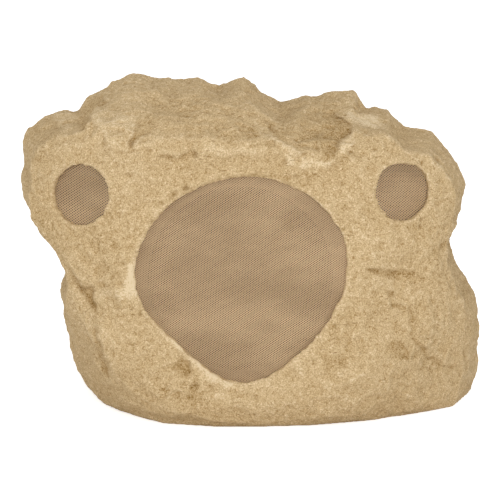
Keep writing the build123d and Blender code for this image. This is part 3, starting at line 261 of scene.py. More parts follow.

# Cracks of the rock: photo points along each, half width, depth, and how much darker they are; along the woofer's
# top rim the darkening is a painted shadow
CRACKS = {
    "shoulder_fold": (((107, 102), (95, 107), (90, 114), (83, 128)), 0.0050, 0.0030, 0.40),
    "plate_edge": (((136, 124), (132, 138), (129, 148)), 0.0040, 0.0025, 0.45),
    "plate_foot": (((113, 149), (124, 151), (136, 149), (152, 150)), 0.0030, 0.0020, 0.60),
    "brow_left": (((163, 157), (178, 158), (190, 152), (199, 154)), 0.0034, 0.0026, 0.65),
    "brow_line": (((170, 114), (196, 116), (222, 112)), 0.0030, 0.0018, 0.45),
    "brow_right": (((249, 115), (262, 117), (280, 126)), 0.0036, 0.0022, 0.38),
    "rim_crack": (((289, 176), (300, 174), (318, 167), (339, 162)), 0.0030, 0.0018, 0.42),
    # painted shadow along the woofer's top rim: a dark line with almost no depth
    "woofer_rim_shadow": (((165, 203), (180, 192), (200, 184), (225, 178), (250, 176), (275, 178), (298, 185)),
                   0.0026, 0.0004, 0.55),
    "left_short": (((125, 173), (136, 171)), 0.0026, 0.0014, 0.50),
    "left_crack": (((83, 318), (87, 333)), 0.0026, 0.0020, 0.85),
    "left_edge": (((68, 265), (80, 284), (94, 306), (100, 343), (106, 376)), 0.0055, 0.0018, 0.28),
    "right_crack": (((368, 270), (376, 272), (386, 274)), 0.0024, 0.0014, 0.50),
    "right_edge": (((408, 309), (412, 336), (430, 360), (455, 368)), 0.0040, 0.0022, 0.42),
    "flank_edge": (((459, 282), (463, 305), (464, 340), (462, 376)), 0.0034, 0.0022, 0.60),
    "hollow_rim": (((324, 110), (334, 111), (344, 117), (351, 128)), 0.0026, 0.0014, 0.40),
}

# Dips along the rock's skyline: a photo point, radius in pixels and depth (below 0 stands out)
DIPS = {
    "shoulder_corner": ((26, 134), 11.0, -0.0050),
    "shoulder_notch": ((76, 107), 11.0, 0.0046),
    "left_peak": ((152, 73), 20.0, 0.0052),
    "right_peak": ((317, 92), 13.0, 0.0040),
    "right_notch": ((364, 101), 14.0, 0.0060),
}

# Ridges of the rock: photo points along each, half width and height
RIDGES = {
    "left_shoulder": (((42, 126), (58, 121), (74, 119)), 0.0090, 0.0015),
    "brow_band": (((200, 146), (240, 148), (290, 154), (330, 160)), 0.0120, 0.0015),
}

# Perforated sheets: pitch and direction of the two rows of holes, the open share of a pitch and its scale on
# each sheet, a slow warp (wavelength and reach), how far from the edge the holes stop, and how far the grid
# is laid out, in radii of the sheet
HOLE_PITCHES = (0.00193, 0.00172)
HOLE_ROWS = (math.radians(-37.0), math.radians(34.0))
HOLE_SHARE = {"woofer_grille": 0.58, "left_tweeter_grille": 0.66, "right_tweeter_grille": 0.66}
HOLE_SCALE = {"woofer_grille": 1.0, "left_tweeter_grille": 1.16, "right_tweeter_grille": 1.12}
SHEET_WARP = (0.050, 0.0012)
LATTICE_INSET = {"woofer_grille": 0.0036, "left_tweeter_grille": 0.0012, "right_tweeter_grille": 0.0012}
GRID_MARGIN = 1.3

# The crease in the woofer's sheet: photo points, half width, height, and reach of the plane it is found on
CREASE = ((275, 238), (290, 222))
CREASE_WIDTH = 0.0036
CREASE_HEIGHT = 0.0016
SHEET_REACH = 0.2

# Colours, linear
WHITE = (1.0, 1.0, 1.0, 1.0)
ROCK_PALE = (0.74, 0.59, 0.38)
ROCK_CREAM = (0.66, 0.50, 0.295)
ROCK_SAND = (0.545, 0.395, 0.213)
ROCK_OCHRE = (0.42, 0.282, 0.128)
ROCK_BROWN = (0.245, 0.138, 0.037)
SHEET_TAN = (0.560, 0.390, 0.222)
SHEET_BROWN = (0.42, 0.283, 0.155)
COPPER_DARK = (0.40, 0.15, 0.06)
COPPER_LIGHT = (0.78, 0.38, 0.18)

# Pitch of the wire on coils, and how far a wave texture of scale 1 turns in a metre
WIRE_PITCH = 0.0007
WAVE_TURN = 20.0

# Where most values of a noise texture lie
NOISE_LOW = 0.3
NOISE_HIGH = 0.7

# Rock colour: scale per metre and swing of each layer of noise, the grain's with painted shade and light on the
# bump, painted light on ridges and painted shade in hollows, middle tone, colours along the tones, and the bump's
# strength and height
BROAD_TONE = (13.0, 0.08)
MOTTLE_TONE = (95.0, 0.02)
GRAIN_AND_SHADE_TONE = (400.0, 0.30)
SAND_TONE = (850.0, 0.31)
CAVITY_UNIT = 0.001
CAVITY_RANGE = 0.8
RIDGE_PAINTED_LIGHT = 0.10
HOLLOW_PAINTED_SHADE = -0.16
MIDDLE_TONE = 0.62
ROCK_TONES = ((0.0, ROCK_BROWN), (0.30, ROCK_OCHRE), (0.62, ROCK_SAND), (0.93, ROCK_CREAM), (1.0, ROCK_PALE))
ROCK_BUMP = (0.8, 0.0016)

# Dark dashes on the rock, the clusters that they lie in, and patches of the darkening at its pits and cracks (a
# painted shadow along the woofer's top rim): scale per metre, and the noise values between which they come in
DASH_SCALE = 430.0
DASH_STRETCH = (0.42, 0.9, 1.5)
DASH_RANGE = (0.61, 0.69)
DASH_DARK = 0.75
CLUSTER_SCALE = 38.0
CLUSTER_RANGE = (0.48, 0.62)
PATCH_SCALE = 200.0
PATCH_RANGE = (0.35, 0.65)
PATCH_LEAST = 0.3

# Grille paint: scale per metre of its broad tones and of its wear, how far each brightens it, and its bump
PAINT_SCALE = 16.0
PAINT_STRETCH = (1.0, 1.0, 2.4)
PAINT_RANGE = (0.37, 0.63)
PAINT_TONES = (-0.06, 0.68)
WORN_SCALE = 420.0
WORN_TONE = 0.4
PAINT_BUMP = (0.25, 0.0002)

# Looks of the pieces by material slot: dark and light colour, roughness, scale per metre, and what differs
SLOT_LOOKS = {
    "black_plastic": ((0.012, 0.012, 0.013), (0.035, 0.035, 0.037), 0.55, 900.0, {}),
    "seal_rubber": ((0.010, 0.010, 0.010), (0.030, 0.030, 0.030), 0.80, 700.0, {"specular": 0.3}),
    "screw_steel": ((0.40, 0.39, 0.36), (0.66, 0.65, 0.60), 0.35, 1500.0, {"metallic": 1.0}),
    "basket_steel": ((0.012, 0.012, 0.013), (0.04, 0.04, 0.042), 0.45, 800.0, {}),
    "motor_steel": ((0.38, 0.36, 0.30), (0.62, 0.60, 0.52), 0.38, 1200.0, {"metallic": 1.0}),
    "ferrite": ((0.035, 0.035, 0.038), (0.085, 0.085, 0.09), 0.85, 600.0, {"height": 0.0004}),
    "baffle_board": ((0.10, 0.07, 0.045), (0.16, 0.11, 0.07), 0.85, 500.0, {"height": 0.0003}),
    "cone_plastic": ((0.012, 0.012, 0.013), (0.04, 0.04, 0.043), 0.55, 450.0, {}),
    "cap_plastic": ((0.010, 0.010, 0.011), (0.028, 0.028, 0.030), 0.35, 450.0, {}),
    "former_film": ((0.30, 0.13, 0.03), (0.50, 0.25, 0.06), 0.35, 700.0, {}),
    "spider_cloth": (
        (0.38, 0.25, 0.10), (0.60, 0.43, 0.20), 0.90, 1600.0, {"specular": 0.2, "height": 0.0004}
    ),
    "dome_cloth": ((0.015, 0.015, 0.017), (0.045, 0.045, 0.05), 0.60, 2200.0, {}),
    "board_laminate": ((0.02, 0.09, 0.03), (0.05, 0.17, 0.07), 0.45, 300.0, {}),
    "capacitor_case": ((0.48, 0.31, 0.03), (0.66, 0.47, 0.08), 0.30, 260.0, {}),
    "resistor_cement": ((0.56, 0.54, 0.48), (0.78, 0.76, 0.70), 0.85, 900.0, {"height": 0.0004}),
    "terminal_plastic": ((0.015, 0.09, 0.03), (0.035, 0.16, 0.06), 0.45, 500.0, {}),
    "lead_sheath": ((0.014, 0.014, 0.015), (0.036, 0.036, 0.038), 0.60, 700.0, {}),
}

# Lamps: place, the point that each is turned to, size and power
LAMPS = {
    "key": ((0.25, -2.2, 1.5), (0.0, 0.0, 0.15), 0.9, 7.5),
    "top": ((0.0, -0.9, 2.1), (0.0, -0.4, 0.0), 1.4, 10.0),
    "low_left": ((-1.8, -0.8, 0.25), (0.0, 0.0, 0.05), 0.5, 5.0),
    "low_right": ((1.0, -1.6, 0.2), (0.0, 0.0, 0.05), 1.2, 7.5),
    "low_front": ((0.1, -1.9, 0.16), (0.0, 0.0, 0.05), 0.3, 3.6),
}

# Surroundings: strength as light and where seen, and the floor's reach, colour and glow where seen
WORLD_LIGHT = 0.62
WORLD_SEEN = 1.0
FLOOR_REACH = 6.0
FLOOR_COLOUR = (0.95, 0.95, 0.95, 1.0)
FLOOR_GLOW = 0.65


# Photo geometry

def camera_axes():
    """The camera's right, up and forward directions."""
    up = Vector((0.0, math.sin(CAMERA_ELEVATION), math.cos(CAMERA_ELEVATION)))
    forward = Vector((0.0, math.cos(CAMERA_ELEVATION), -math.sin(CAMERA_ELEVATION)))
    return Vector((1.0, 0.0, 0.0)), up, forward


def photo_point(tree, column, row):
    """Where a photo pixel's line of sight meets a surface."""
    right, up, forward = camera_axes()
    eye = CAMERA_TARGET - CAMERA_DISTANCE * forward
    focal = PIXELS_PER_METRE * CAMERA_DISTANCE
    middle = IMAGE_SIZE / 2
    sight = focal * forward + (column - middle) * right + (middle - row) * up
    place = tree.ray_cast(eye, sight.normalized())[0]
    if place is None:
        raise ValueError(f"photo pixel {column}, {row} misses the surface")
    return np.array(place)


def photo_pixels(points):
    """The photo pixels that points are seen at."""
    right, up, forward = (np.array(axis) for axis in camera_axes())
    away = points - (np.array(CAMERA_TARGET) - CAMERA_DISTANCE * forward)
    scale = PIXELS_PER_METRE * CAMERA_DISTANCE / (away @ forward)
    middle = IMAGE_SIZE / 2
    return np.stack([middle + scale * (away @ right), middle - scale * (away @ up)], axis=1)


# Mesh helpers

def new_object(name, mesh):
    """A new object in the scene."""
    obj = bpy.data.objects.new(name, mesh)
    bpy.context.scene.collection.objects.link(obj)
    return obj


def evaluated(obj):
    """The mesh that an object's modifiers give."""
    graph = bpy.context.evaluated_depsgraph_get()
    return bpy.data.meshes.new_from_object(obj.evaluated_get(graph))


def coordinates(mesh):
    """A mesh's points as an array."""
    flat = np.empty(len(mesh.vertices) * 3, np.float32)
    mesh.vertices.foreach_get("co", flat)
    return flat.reshape(-1, 3).astype(float)


def set_coordinates(mesh, points):
    """Move a mesh's points."""
    mesh.vertices.foreach_set("co", points.astype(np.float32).ravel())
    mesh.update()


def normals(mesh):
    """A mesh's vertex normals as an array."""
    flat = np.empty(len(mesh.vertices) * 3, np.float32)
    mesh.vertex_normals.foreach_get("vector", flat)
    return flat.reshape(-1, 3).astype(float)


def edge_ends(mesh):
    """The two ends of each edge."""
    flat = np.empty(len(mesh.edges) * 2, np.int32)
    mesh.edges.foreach_get("vertices", flat)
    return flat.reshape(-1, 2)


def neighbour_mean(values, ends):
    """The mean of each point's neighbours."""
    count = len(values)
    share = np.bincount(ends.ravel(), minlength=count).astype(float)
    result = np.empty_like(values)
    for axis in range(values.shape[1]):
        column = values[:, axis]
        total = np.bincount(ends[:, 0], column[ends[:, 1]], count)
        total += np.bincount(ends[:, 1], column[ends[:, 0]], count)
        result[:, axis] = total / np.maximum(share, 1.0)
    return result


def surface_tree(meshes):
    """One search tree over several meshes."""
    points, faces = [], []
    for mesh in meshes:
        first = len(points)
        points += [vertex.co.copy() for vertex in mesh.vertices]
        faces += [[first + index for index in polygon.vertices] for polygon in mesh.polygons]
    return BVHTree.FromPolygons(points, faces)


def distances(tree, points, limit):
    """How far each point lies from a surface, up to a limit."""
    result = np.full(len(points), limit)
    for index, point in enumerate(points):
        near = tree.find_nearest(Vector(point), limit)
        if near[0] is not None:
            result[index] = near[3]
    return result


def smooth_step(low, high, values):
    """0 below low, 1 above high and smooth between."""
    t = np.clip((values - low) / (high - low), 0.0, 1.0)
    return t * t * (3.0 - 2.0 * t)


def bell(ratio):
    """1 in the middle, 0 from 1 outward."""
    return np.clip(1.0 - ratio ** 2, 0.0, 1.0) ** 2


def path_distance(points, path):
    """How far each point lies from a line of points."""
    nearest = np.full(len(points), np.inf)
    for start, end in zip(path, path[1:]):
        run = end - start
        share = np.clip((points - start) @ run / (run @ run), 0.0, 1.0)
        gap = np.linalg.norm(points - (start + share[:, None] * run), axis=1)
        nearest = np.minimum(nearest, gap)
    return nearest


def inside_depth(points, outline):
    """How far each flat point lies inside an outline: below 0 outside."""
    corners = np.array(outline, float)
    nearest = path_distance(points, np.vstack([corners, corners[:1]]))
    inside = np.zeros(len(points), bool)
    for start, end in zip(corners, np.roll(corners, -1, axis=0)):
        if start[1] != end[1]:
            crossing = (start[1] > points[:, 1]) != (end[1] > points[:, 1])
            share = (points[:, 1] - start[1]) / (end[1] - start[1])
            inside ^= crossing & (points[:, 0] < start[0] + share * (end[0] - start[0]))
    return np.where(inside, nearest, -nearest)


# The plane and outline of a flat grille

class Sheet:
    """A flat CAD sheet: its middle, its axes and its outline around the middle."""

    def __init__(self, node):
        points = coordinates(NODES[node].data)
        low, high = points.min(axis=0), points.max(axis=0)
        self.middle = (low + high) / 2
        normal = np.linalg.svd(points - points.mean(axis=0), full_matrices=False)[2][2]
        self.normal = normal if normal[1] < 0 else -normal
        self.right = np.cross((0.0, 0.0, 1.0), self.normal)
        self.right /= np.linalg.norm(self.right)
        self.up = np.cross(self.normal, self.right)
        across, along, height = self.local(points)
        self.front = height.max()
        self.back = height.min()
        edge = height > (self.front + self.back) / 2
        angles = np.arctan2(along[edge], across[edge])
        order = np.argsort(angles)
        self.angles = angles[order]
        self.radii = np.hypot(across[edge], along[edge])[order]

    def local(self, points):
        """Points in the sheet's own axes."""
        moved = points - self.middle
        return moved @ self.right, moved @ self.up, moved @ self.normal

    def world(self, across, along, height):
        """Points from the sheet's own axes."""
        plane = np.outer(across, self.right) + np.outer(along, self.up)
        return self.middle + plane + np.outer(height, self.normal)

    def radius(self, across, along):
        """The outline's radius in the direction of each point."""
        return np.interp(np.arctan2(along, across), self.angles, self.radii, period=math.tau)


# Rock

def pocket_ring(sheet, width, steps=180):
    """A ring that fills the pocket around a grille, so that the rock runs on behind it."""
    turns = np.linspace(0.0, math.tau, steps, endpoint=False)
    reach = sheet.radius(np.cos(turns), np.sin(turns))
    loops = []
    for radius, height in (
        (reach - width, sheet.front - RING_BELOW),
        (reach - width, sheet.front + RING_ABOVE),
        (reach + RING_OVERLAP, sheet.front + RING_ABOVE),
        (reach + RING_OVERLAP, sheet.front - RING_BELOW),
    ):
        loops.append(sheet.world(radius * np.cos(turns), radius * np.sin(turns), np.full(steps, height)))
    faces = []
    for k in range(4):
        for i in range(steps):
            j = (i + 1) % steps
            near, far = k * steps, (k + 1) % 4 * steps
            faces.append((near + i, near + j, far + j, far + i))
    return np.concatenate(loops), faces


def rock_base(sheets):
    """The rock's solid with its pockets filled, as an even mesh."""
    source = NODES["rock_shell"].data
    points = coordinates(source).tolist()
    faces = [list(polygon.vertices) for polygon in source.polygons]
    for node, sheet in sheets.items():
        ring_points, ring_faces = pocket_ring(sheet, POCKET_WIDTH[node])
        first = len(points)
        points += ring_points.tolist()
        faces += [[first + index for index in face] for face in ring_faces]
    mesh = bpy.data.meshes.new("rock")
    mesh.from_pydata(points, [], faces)
    obj = new_object("rock", mesh)
    remesh = obj.modifiers.new("even", "REMESH")
    remesh.mode = "VOXEL"
    remesh.voxel_size = VOXEL
    obj.data = evaluated(obj)
    obj.modifiers.clear()
    return obj


def outside_tree():
    """The CAD rock's faces that can be seen from outside."""
    closing = ("rock_shell", "base_plate", *GRILLES, "gland_body")
    closed = surface_tree([NODES[node].data for node in closing])
    mesh = NODES["rock_shell"].data
    faces = []
    for polygon in mesh.polygons:
        start = polygon.center + SIGHT_START * polygon.normal
        for lean in LEANS:
            sight = polygon.normal + SIGHT_LEAN * Vector(lean)
            if sight.length > SIGHT_LEAST and closed.ray_cast(start, sight.normalized())[0] is None:
                faces.append(list(polygon.vertices))
                break
    return BVHTree.FromPolygons([vertex.co.copy() for vertex in mesh.vertices], faces)


def thin(obj, chosen, kept):
    """Fewer faces at the chosen points of a mesh."""
    group = obj.vertex_groups.new(name="chosen")
    group.add([int(index) for index in np.flatnonzero(chosen)], 1.0, "REPLACE")
    modifier = obj.modifiers.new("thin", "DECIMATE")
    modifier.ratio = 1.0 - chosen.mean() * (1.0 - kept)
    modifier.vertex_group = "chosen"
    modifier.vertex_group_factor = 1000.0
    obj.data = evaluated(obj)
    obj.modifiers.clear()
    obj.vertex_groups.clear()


def relief(points, free):
    """Height of the rock's natural relief at each free point: chipped scoops, ledges and grain."""
    heights = np.zeros(len(points))
    lump_size, lump_height = LUMPS
    ledge_size, ledge_height = LEDGES
    grain_size, grain_height = GRAIN
    stretch = Vector(LEDGE_STRETCH)
    for index in np.flatnonzero(free > 0.0):
        place = Vector(points[index])
        height = lump_height * noise.fractal(place / lump_size, *LUMP_NOISE)
        for chip_size, chip_height in CHIPS:
            height += chip_height * (CHIP_MIDDLE - noise.turbulence(place / chip_size, *CHIP_NOISE))
        ledge = noise.ridged_multi_fractal(place * stretch / ledge_size, *LEDGE_NOISE)
        height += ledge_height * (LEDGE_MIDDLE - LEDGE_SLOPE * min(ledge, LEDGE_LIMIT))
        height += grain_height * noise.fractal(place / grain_size, *GRAIN_NOISE)
        heights[index] = height * free[index]
    return heights


def roughen_rims(points, sheets):
    """Make the rock's edge around each grille uneven."""
    size, reach = RIM_UNEVEN
    for node, sheet in sheets.items():
        across, along, height = sheet.local(points)
        gap = np.hypot(across, along) - sheet.radius(across, along) + POCKET_WIDTH[node]
        near = bell(gap / RIM_REACH) * bell((height - sheet.front) / RIM_REACH)
        for index in np.flatnonzero(near > 0.0):
            step = noise.noise_vector(Vector(points[index]) / size)
            points[index] += near[index] * reach * np.array(step)


def free_surface(points, outside):
    """1 where the rock's skin is free, 0 inside it, at the grilles, at the gland and on the ground."""
    free = smooth_step(2.0 * OUTER_REACH, OUTER_REACH, distances(outside, points, SEARCH_REACH))
    sheets = surface_tree([NODES[node].data for node in GRILLES])
    free *= smooth_step(*GRILLE_FADE, distances(sheets, points, SEARCH_REACH))
    gland = surface_tree([NODES["gland_body"].data])
    free *= smooth_step(*GLAND_FADE, distances(gland, points, SEARCH_REACH))
    return free * smooth_step(*GROUND_FADE, points[:, 2])


def wandering(points):
    """A small sideways step for each point, and a share from 0 to 1, both uneven."""
    size, reach = WANDER
    steps = np.empty((len(points), 3))
    shares = np.empty(len(points))
    for index, point in enumerate(points):
        place = Vector(point)
        steps[index] = noise.noise_vector(place / size)
        shares[index] = noise.noise(place / UNEVEN)
    return reach * steps, np.clip(UNEVEN_MIDDLE + UNEVEN_SLOPE * shares, 0.0, 1.0)


def press_plates(points, out, free, steps, shares):
    """Press the photo's plates into the rock. Gives the points and how pale each is, with painted light on the lit
    rim and ledge plates and painted shade in the hollow and under the woofer's brow.
    """
    pixels = photo_pixels(points + PLATE_WANDER * steps)
    sight = np.array(camera_axes()[2])
    facing = smooth_step(0.0, PLATE_FACING, -(out @ sight)) * free
    strength = facing * (PLATE_EVEN + (1.0 - PLATE_EVEN) * shares)
    tones = np.zeros(len(points))
    for outline, shallow, deep, depth, tone in PLATES.values():
        depths = inside_depth(pixels, outline)
        share = smooth_step(-PLATE_EDGE / 2, PLATE_EDGE / 2, depths) * facing
        run = np.subtract(deep, shallow)
        lean = np.clip((pixels - shallow) @ run / (run @ run), 0.0, 1.0)
        points = points + depth * np.outer(share * lean, sight)
        # pale and dark tones: painted light on the lit rim and ledge plates, painted shade in the hollow and under
        # the woofer's brow
        tones += tone * smooth_step(-PLATE_FADE, PLATE_FADE, depths) * strength
    return points, tones


def sculpt(points, out, free, tree):
    """The rock with the photo's plates, pits, dips, cracks and ridges, how pale it is, with painted light and
    shade on some plates, and how much darker at its pits and cracks, with a painted shadow along the woofer's top
    rim.
    """
    stain_and_shade = np.zeros(len(points))
    steps, shares = wandering(points)
    wandered = points + steps
    points, tones = press_plates(points, out, free, steps, shares)
    for pixel in PITS:
        centre = photo_point(tree, *pixel)
        amount = bell(np.linalg.norm(points + PIT_WANDER * steps - centre, axis=1) / PIT_RADIUS) * free
        points = points - PIT_DEPTH * amount[:, None] * out
        stain_and_shade = np.maximum(stain_and_shade, PIT_DARK * amount)
    seen = photo_pixels(points)
    up = np.array(camera_axes()[1])
    for pixel, radius, depth in DIPS.values():
        amount = bell(np.linalg.norm(seen - pixel, axis=1) / radius) * free
        points = points - depth * np.outer(amount, up)
    for pixels, width, depth, dark in CRACKS.values():
        path = [photo_point(tree, *pixel) for pixel in pixels]
        lip = [place + np.array((0.0, 0.0, LIP_RISE * width)) for place in path]
        amount = bell(path_distance(wandered, path) / width) * free * shares
        raised = LIP_SHARE * bell(path_distance(wandered, lip) / (LIP_WIDTH * width)) * free
        points = points + depth * (raised - amount)[:, None] * out
        stain_and_shade = np.maximum(stain_and_shade, dark * amount)
    for pixels, width, height in RIDGES.values():
        path = [photo_point(tree, *pixel) for pixel in pixels]
        amount = bell(path_distance(wandered, path) / width) * free
        points = points + height * amount[:, None] * out
    return points, tones, stain_and_shade


def cavity(points, out, ends, rounds=6):
    """How hollow the surface is around each point: above 0 in a hollow, below on a ridge."""
    mean = points
    for _ in range(rounds):
        mean = neighbour_mean(mean, ends)
    lengths = np.linalg.norm(points[ends[:, 0]] - points[ends[:, 1]], axis=1)
    count = np.bincount(ends.ravel(), minlength=len(points))
    spacing = np.bincount(ends.ravel(), np.repeat(lengths, 2), len(points)) / np.maximum(count, 1)
    return VOXEL / np.maximum(spacing, VOXEL) * np.einsum("ij,ij->i", mean - points, out)


def add_attribute(mesh, name, values):
    """A number for each point that materials can read."""
    attribute = mesh.attributes.new(name, "FLOAT", "POINT")
    attribute.data.foreach_set("value", values.astype(np.float32))


def make_rock(sheets):
    """The rock's skin: the solid's form with soft edges, relief and the photo's hollows and cracks."""
    outside = outside_tree()
    obj = rock_base(sheets)
    thin(obj, distances(outside, coordinates(obj.data), SEARCH_REACH) > INNER_START, INNER_KEPT)
    thin(obj, coordinates(obj.data)[:, 1] > REAR_START, REAR_KEPT)
    mesh = obj.data
    ends = edge_ends(mesh)
    points = coordinates(mesh)
    free = free_surface(points, outside)
    for _ in range(SMOOTHING_ROUNDS):
        for step in SMOOTHING_STEPS:
            points += step * free[:, None] * (neighbour_mean(points, ends) - points)
    roughen_rims(points, sheets)
    set_coordinates(mesh, points)
    out = normals(mesh)
    tree = surface_tree([mesh] + [NODES[node].data for node in sheets])
    points, tones, stain_and_shade = sculpt(points, out, free, tree)
    points = points + relief(points, free)[:, None] * out
    low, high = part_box("rock_shell")
    points = np.clip(points, np.array(low), np.array(high))
    set_coordinates(mesh, points)
    # the cavity, which the rock's material turns into painted shade in hollows and painted light on ridges
    add_attribute(mesh, "cavity", cavity(points, normals(mesh), ends) / CAVITY_UNIT)
    add_attribute(mesh, "tone", tones)
    add_attribute(mesh, "stain_and_shade", stain_and_shade)
    mesh.shade_smooth()
    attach(obj, CABINET)
    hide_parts("rock_shell")
    return obj


# Grilles

def lattice(node, sheet):
    """Which cells of a staggered grid lie inside a sheet's outline, and the grid's corner places."""
    pitches = [HOLE_SCALE[node] * pitch for pitch in HOLE_PITCHES]
    half = math.ceil(GRID_MARGIN * sheet.radii.max() / min(pitches))
    steps = np.arange(-half, half + 1)
    first, second = np.meshgrid(pitches[0] * steps, pitches[1] * steps, indexing="ij")
    across = first * math.cos(HOLE_ROWS[0]) + second * math.cos(HOLE_ROWS[1])
    along = first * math.sin(HOLE_ROWS[0]) + second * math.sin(HOLE_ROWS[1])
    size, reach = SHEET_WARP
    for index in np.ndindex(across.shape):
        shift = noise.noise_vector(Vector((across[index], along[index], 0.0)) / size)
        across[index] += reach * shift.x
        along[index] += reach * shift.y
    limit = sheet.radius(across.ravel(), along.ravel()).reshape(across.shape) - LATTICE_INSET[node]
    inside = np.hypot(across, along) < limit
    kept = inside[:-1, :-1] & inside[1:, :-1] & inside[:-1, 1:] & inside[1:, 1:]
    return kept, across, along


def sheet_faces(cells):
    """A perforated sheet's front faces: a strip between each two holes and a patch where strips meet."""
    first = {cell: 4 * number for number, cell in enumerate(cells)}
    faces = []
    patches = set()
    for i, j in cells:
        here, beside, above = first[i, j], first.get((i + 1, j)), first.get((i, j + 1))
        if beside is not None:
            faces.append((here + 1, beside, beside + 3, here + 2))
        if above is not None:
            faces.append((here + 3, here + 2, above + 1, above))
        patches.update(((i, j), (i - 1, j), (i, j - 1), (i - 1, j - 1)))
    for i, j in sorted(patches):
        around = (((i, j), 2), ((i + 1, j), 3), ((i + 1, j + 1), 0), ((i, j + 1), 1))
        patch = tuple(first[cell] + corner for cell, corner in around if cell in first)
        if len(patch) > 2:
            faces.append(patch)
    return faces


def closed_faces(faces, count):
    """Front faces with the same faces behind them and walls along every open edge."""
    edges = {(a, b) for face in faces for a, b in zip(face, face[1:] + face[:1])}
    walls = [(b, a, a + count, b + count) for a, b in sorted(edges) if (b, a) not in edges]
    backs = [tuple(corner + count for corner in reversed(face)) for face in faces]
    return faces + backs + walls


def make_grille(node, name, sheet, crease=None):
    """A perforated sheet: four sided holes on a staggered grid, open from front to back."""
    kept, across, along = lattice(node, sheet)
    rows, columns = np.nonzero(kept)
    grid = np.stack([across, along], axis=-1)
    around = ((0, 0), (1, 0), (1, 1), (0, 1))
    corners = np.stack([grid[rows + down, columns + over] for down, over in around], axis=1)
    centres = corners.mean(axis=1, keepdims=True)
    plane = (centres + HOLE_SHARE[node] * (corners - centres)).reshape(-1, 2)
    faces = closed_faces(sheet_faces(list(zip(rows.tolist(), columns.tolist()))), len(plane))
    front = np.full(len(plane), sheet.front)
    if crease is not None:
        flat = sheet.world(plane[:, 0], plane[:, 1], front)
        front = front + CREASE_HEIGHT * bell(path_distance(flat, crease) / CREASE_WIDTH)
    back = front - (sheet.front - sheet.back)
    points = np.concatenate([
        sheet.world(plane[:, 0], plane[:, 1], front), sheet.world(plane[:, 0], plane[:, 1], back),
    ])
    used = np.zeros(len(points), bool)
    for face in faces:
        used[list(face)] = True
    place = (np.cumsum(used) - 1).tolist()
    mesh = bpy.data.meshes.new(name)
    mesh.from_pydata(points[used].tolist(), [], [[place[corner] for corner in face] for face in faces])
    obj = new_object(name, mesh)
    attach(obj, CABINET)
    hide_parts(node)
    return obj


def sheet_crease(sheet):
    """Where the small crease in the woofer's grille runs."""
    across = SHEET_REACH * np.array((-1, 1, 1, -1))
    along = SHEET_REACH * np.array((-1, -1, 1, 1))
    corners = sheet.world(across, along, np.full(4, sheet.front))
    tree = BVHTree.FromPolygons(corners.tolist(), [(0, 1, 2, 3)])
    return [photo_point(tree, *pixel) for pixel in CREASE]


# Materials

class Shader:
    """A material and short calls for the nodes that it is made of."""

    def __init__(self, name, roughness, metallic=0.0, specular=0.5):
        self.material = bpy.data.materials.new(name)
        self.material.use_nodes = True
        self.tree = self.material.node_tree
        self.surface = self.tree.nodes["Principled BSDF"]
        self.surface.inputs["Roughness"].default_value = roughness
        self.surface.inputs["Metallic"].default_value = metallic
        self.surface.inputs["Specular IOR Level"].default_value = specular
        self.place = self.add("ShaderNodeTexCoord").outputs["Object"]

    def add(self, kind, **settings):
        """A new node."""
        node = self.tree.nodes.new(kind)
        for key, value in settings.items():
            setattr(node, key, value)
        return node

    def set(self, socket, value):
        """Link a socket to another, or give it a plain value."""
        if isinstance(value, bpy.types.NodeSocket):
            self.tree.links.new(value, socket)
        else:
            socket.default_value = value

    def noise(self, scale, detail=2.0, roughness=0.5, stretch=None, distortion=0.0):
        """Noise with features of 1 / scale metres."""
        node = self.add("ShaderNodeTexNoise")
        node.inputs["Distortion"].default_value = distortion
        node.inputs["Scale"].default_value = scale
        node.inputs["Detail"].default_value = detail
        node.inputs["Roughness"].default_value = roughness
        place = self.place
        if stretch is not None:
            mapping = self.add("ShaderNodeMapping")
            mapping.inputs["Scale"].default_value = stretch
            self.set(mapping.inputs["Vector"], place)
            place = mapping.outputs["Vector"]
        self.set(node.inputs["Vector"], place)
        return node.outputs["Fac"]

    def attribute(self, name):
        """A number stored on the mesh's points."""
        return self.add("ShaderNodeAttribute", attribute_name=name).outputs["Fac"]

    def math(self, operation, first, second, clamp=False):
        """Arithmetic on two values."""
        node = self.add("ShaderNodeMath", operation=operation, use_clamp=clamp)
        self.set(node.inputs[0], first)
        self.set(node.inputs[1], second)
        return node.outputs["Value"]

    def spread(self, value, low, high, to_low=0.0, to_high=1.0):
        """A value's range stretched to another."""
        node = self.add("ShaderNodeMapRange")
        self.set(node.inputs["Value"], value)
        ends = {"From Min": low, "From Max": high, "To Min": to_low, "To Max": to_high}
        for key, number in ends.items():
            node.inputs[key].default_value = number
        return node.outputs["Result"]

    def swing(self, value, amount):
        """A noise's values stretched to lie between -amount and amount."""
        return self.spread(value, NOISE_LOW, NOISE_HIGH, -amount, amount)

    def ramp(self, factor, *stops):
        """Colours along a factor, as (position, colour)."""
        node = self.add("ShaderNodeValToRGB")
        elements = node.color_ramp.elements
        while len(elements) < len(stops):
            elements.new(1.0)
        for element, (position, colour) in zip(elements, stops):
            element.position = position
            element.color = (*colour, 1.0)
        self.set(node.inputs["Fac"], factor)
        return node.outputs["Color"]

    def mix(self, factor, first, colour):
        """A colour socket mixed with a plain colour."""
        node = self.add("ShaderNodeMix", data_type="RGBA")
        self.set(node.inputs[0], factor)
        self.set(node.inputs[6], first)
        self.set(node.inputs[7], (*colour, 1.0))
        return node.outputs[2]

    def bump(self, height, strength, distance):
        """A bumped normal from a height."""
        node = self.add("ShaderNodeBump")
        node.inputs["Strength"].default_value = strength
        node.inputs["Distance"].default_value = distance
        self.set(node.inputs["Height"], height)
        return node.outputs["Normal"]

    def finish(self, colour, normal, roughness=None):
        """Link the results to the surface."""
        self.set(self.surface.inputs["Base Color"], colour)
        self.set(self.surface.inputs["Normal"], normal)
        if roughness is not None:
            self.set(self.surface.inputs["Roughness"], roughness)
        return self.material


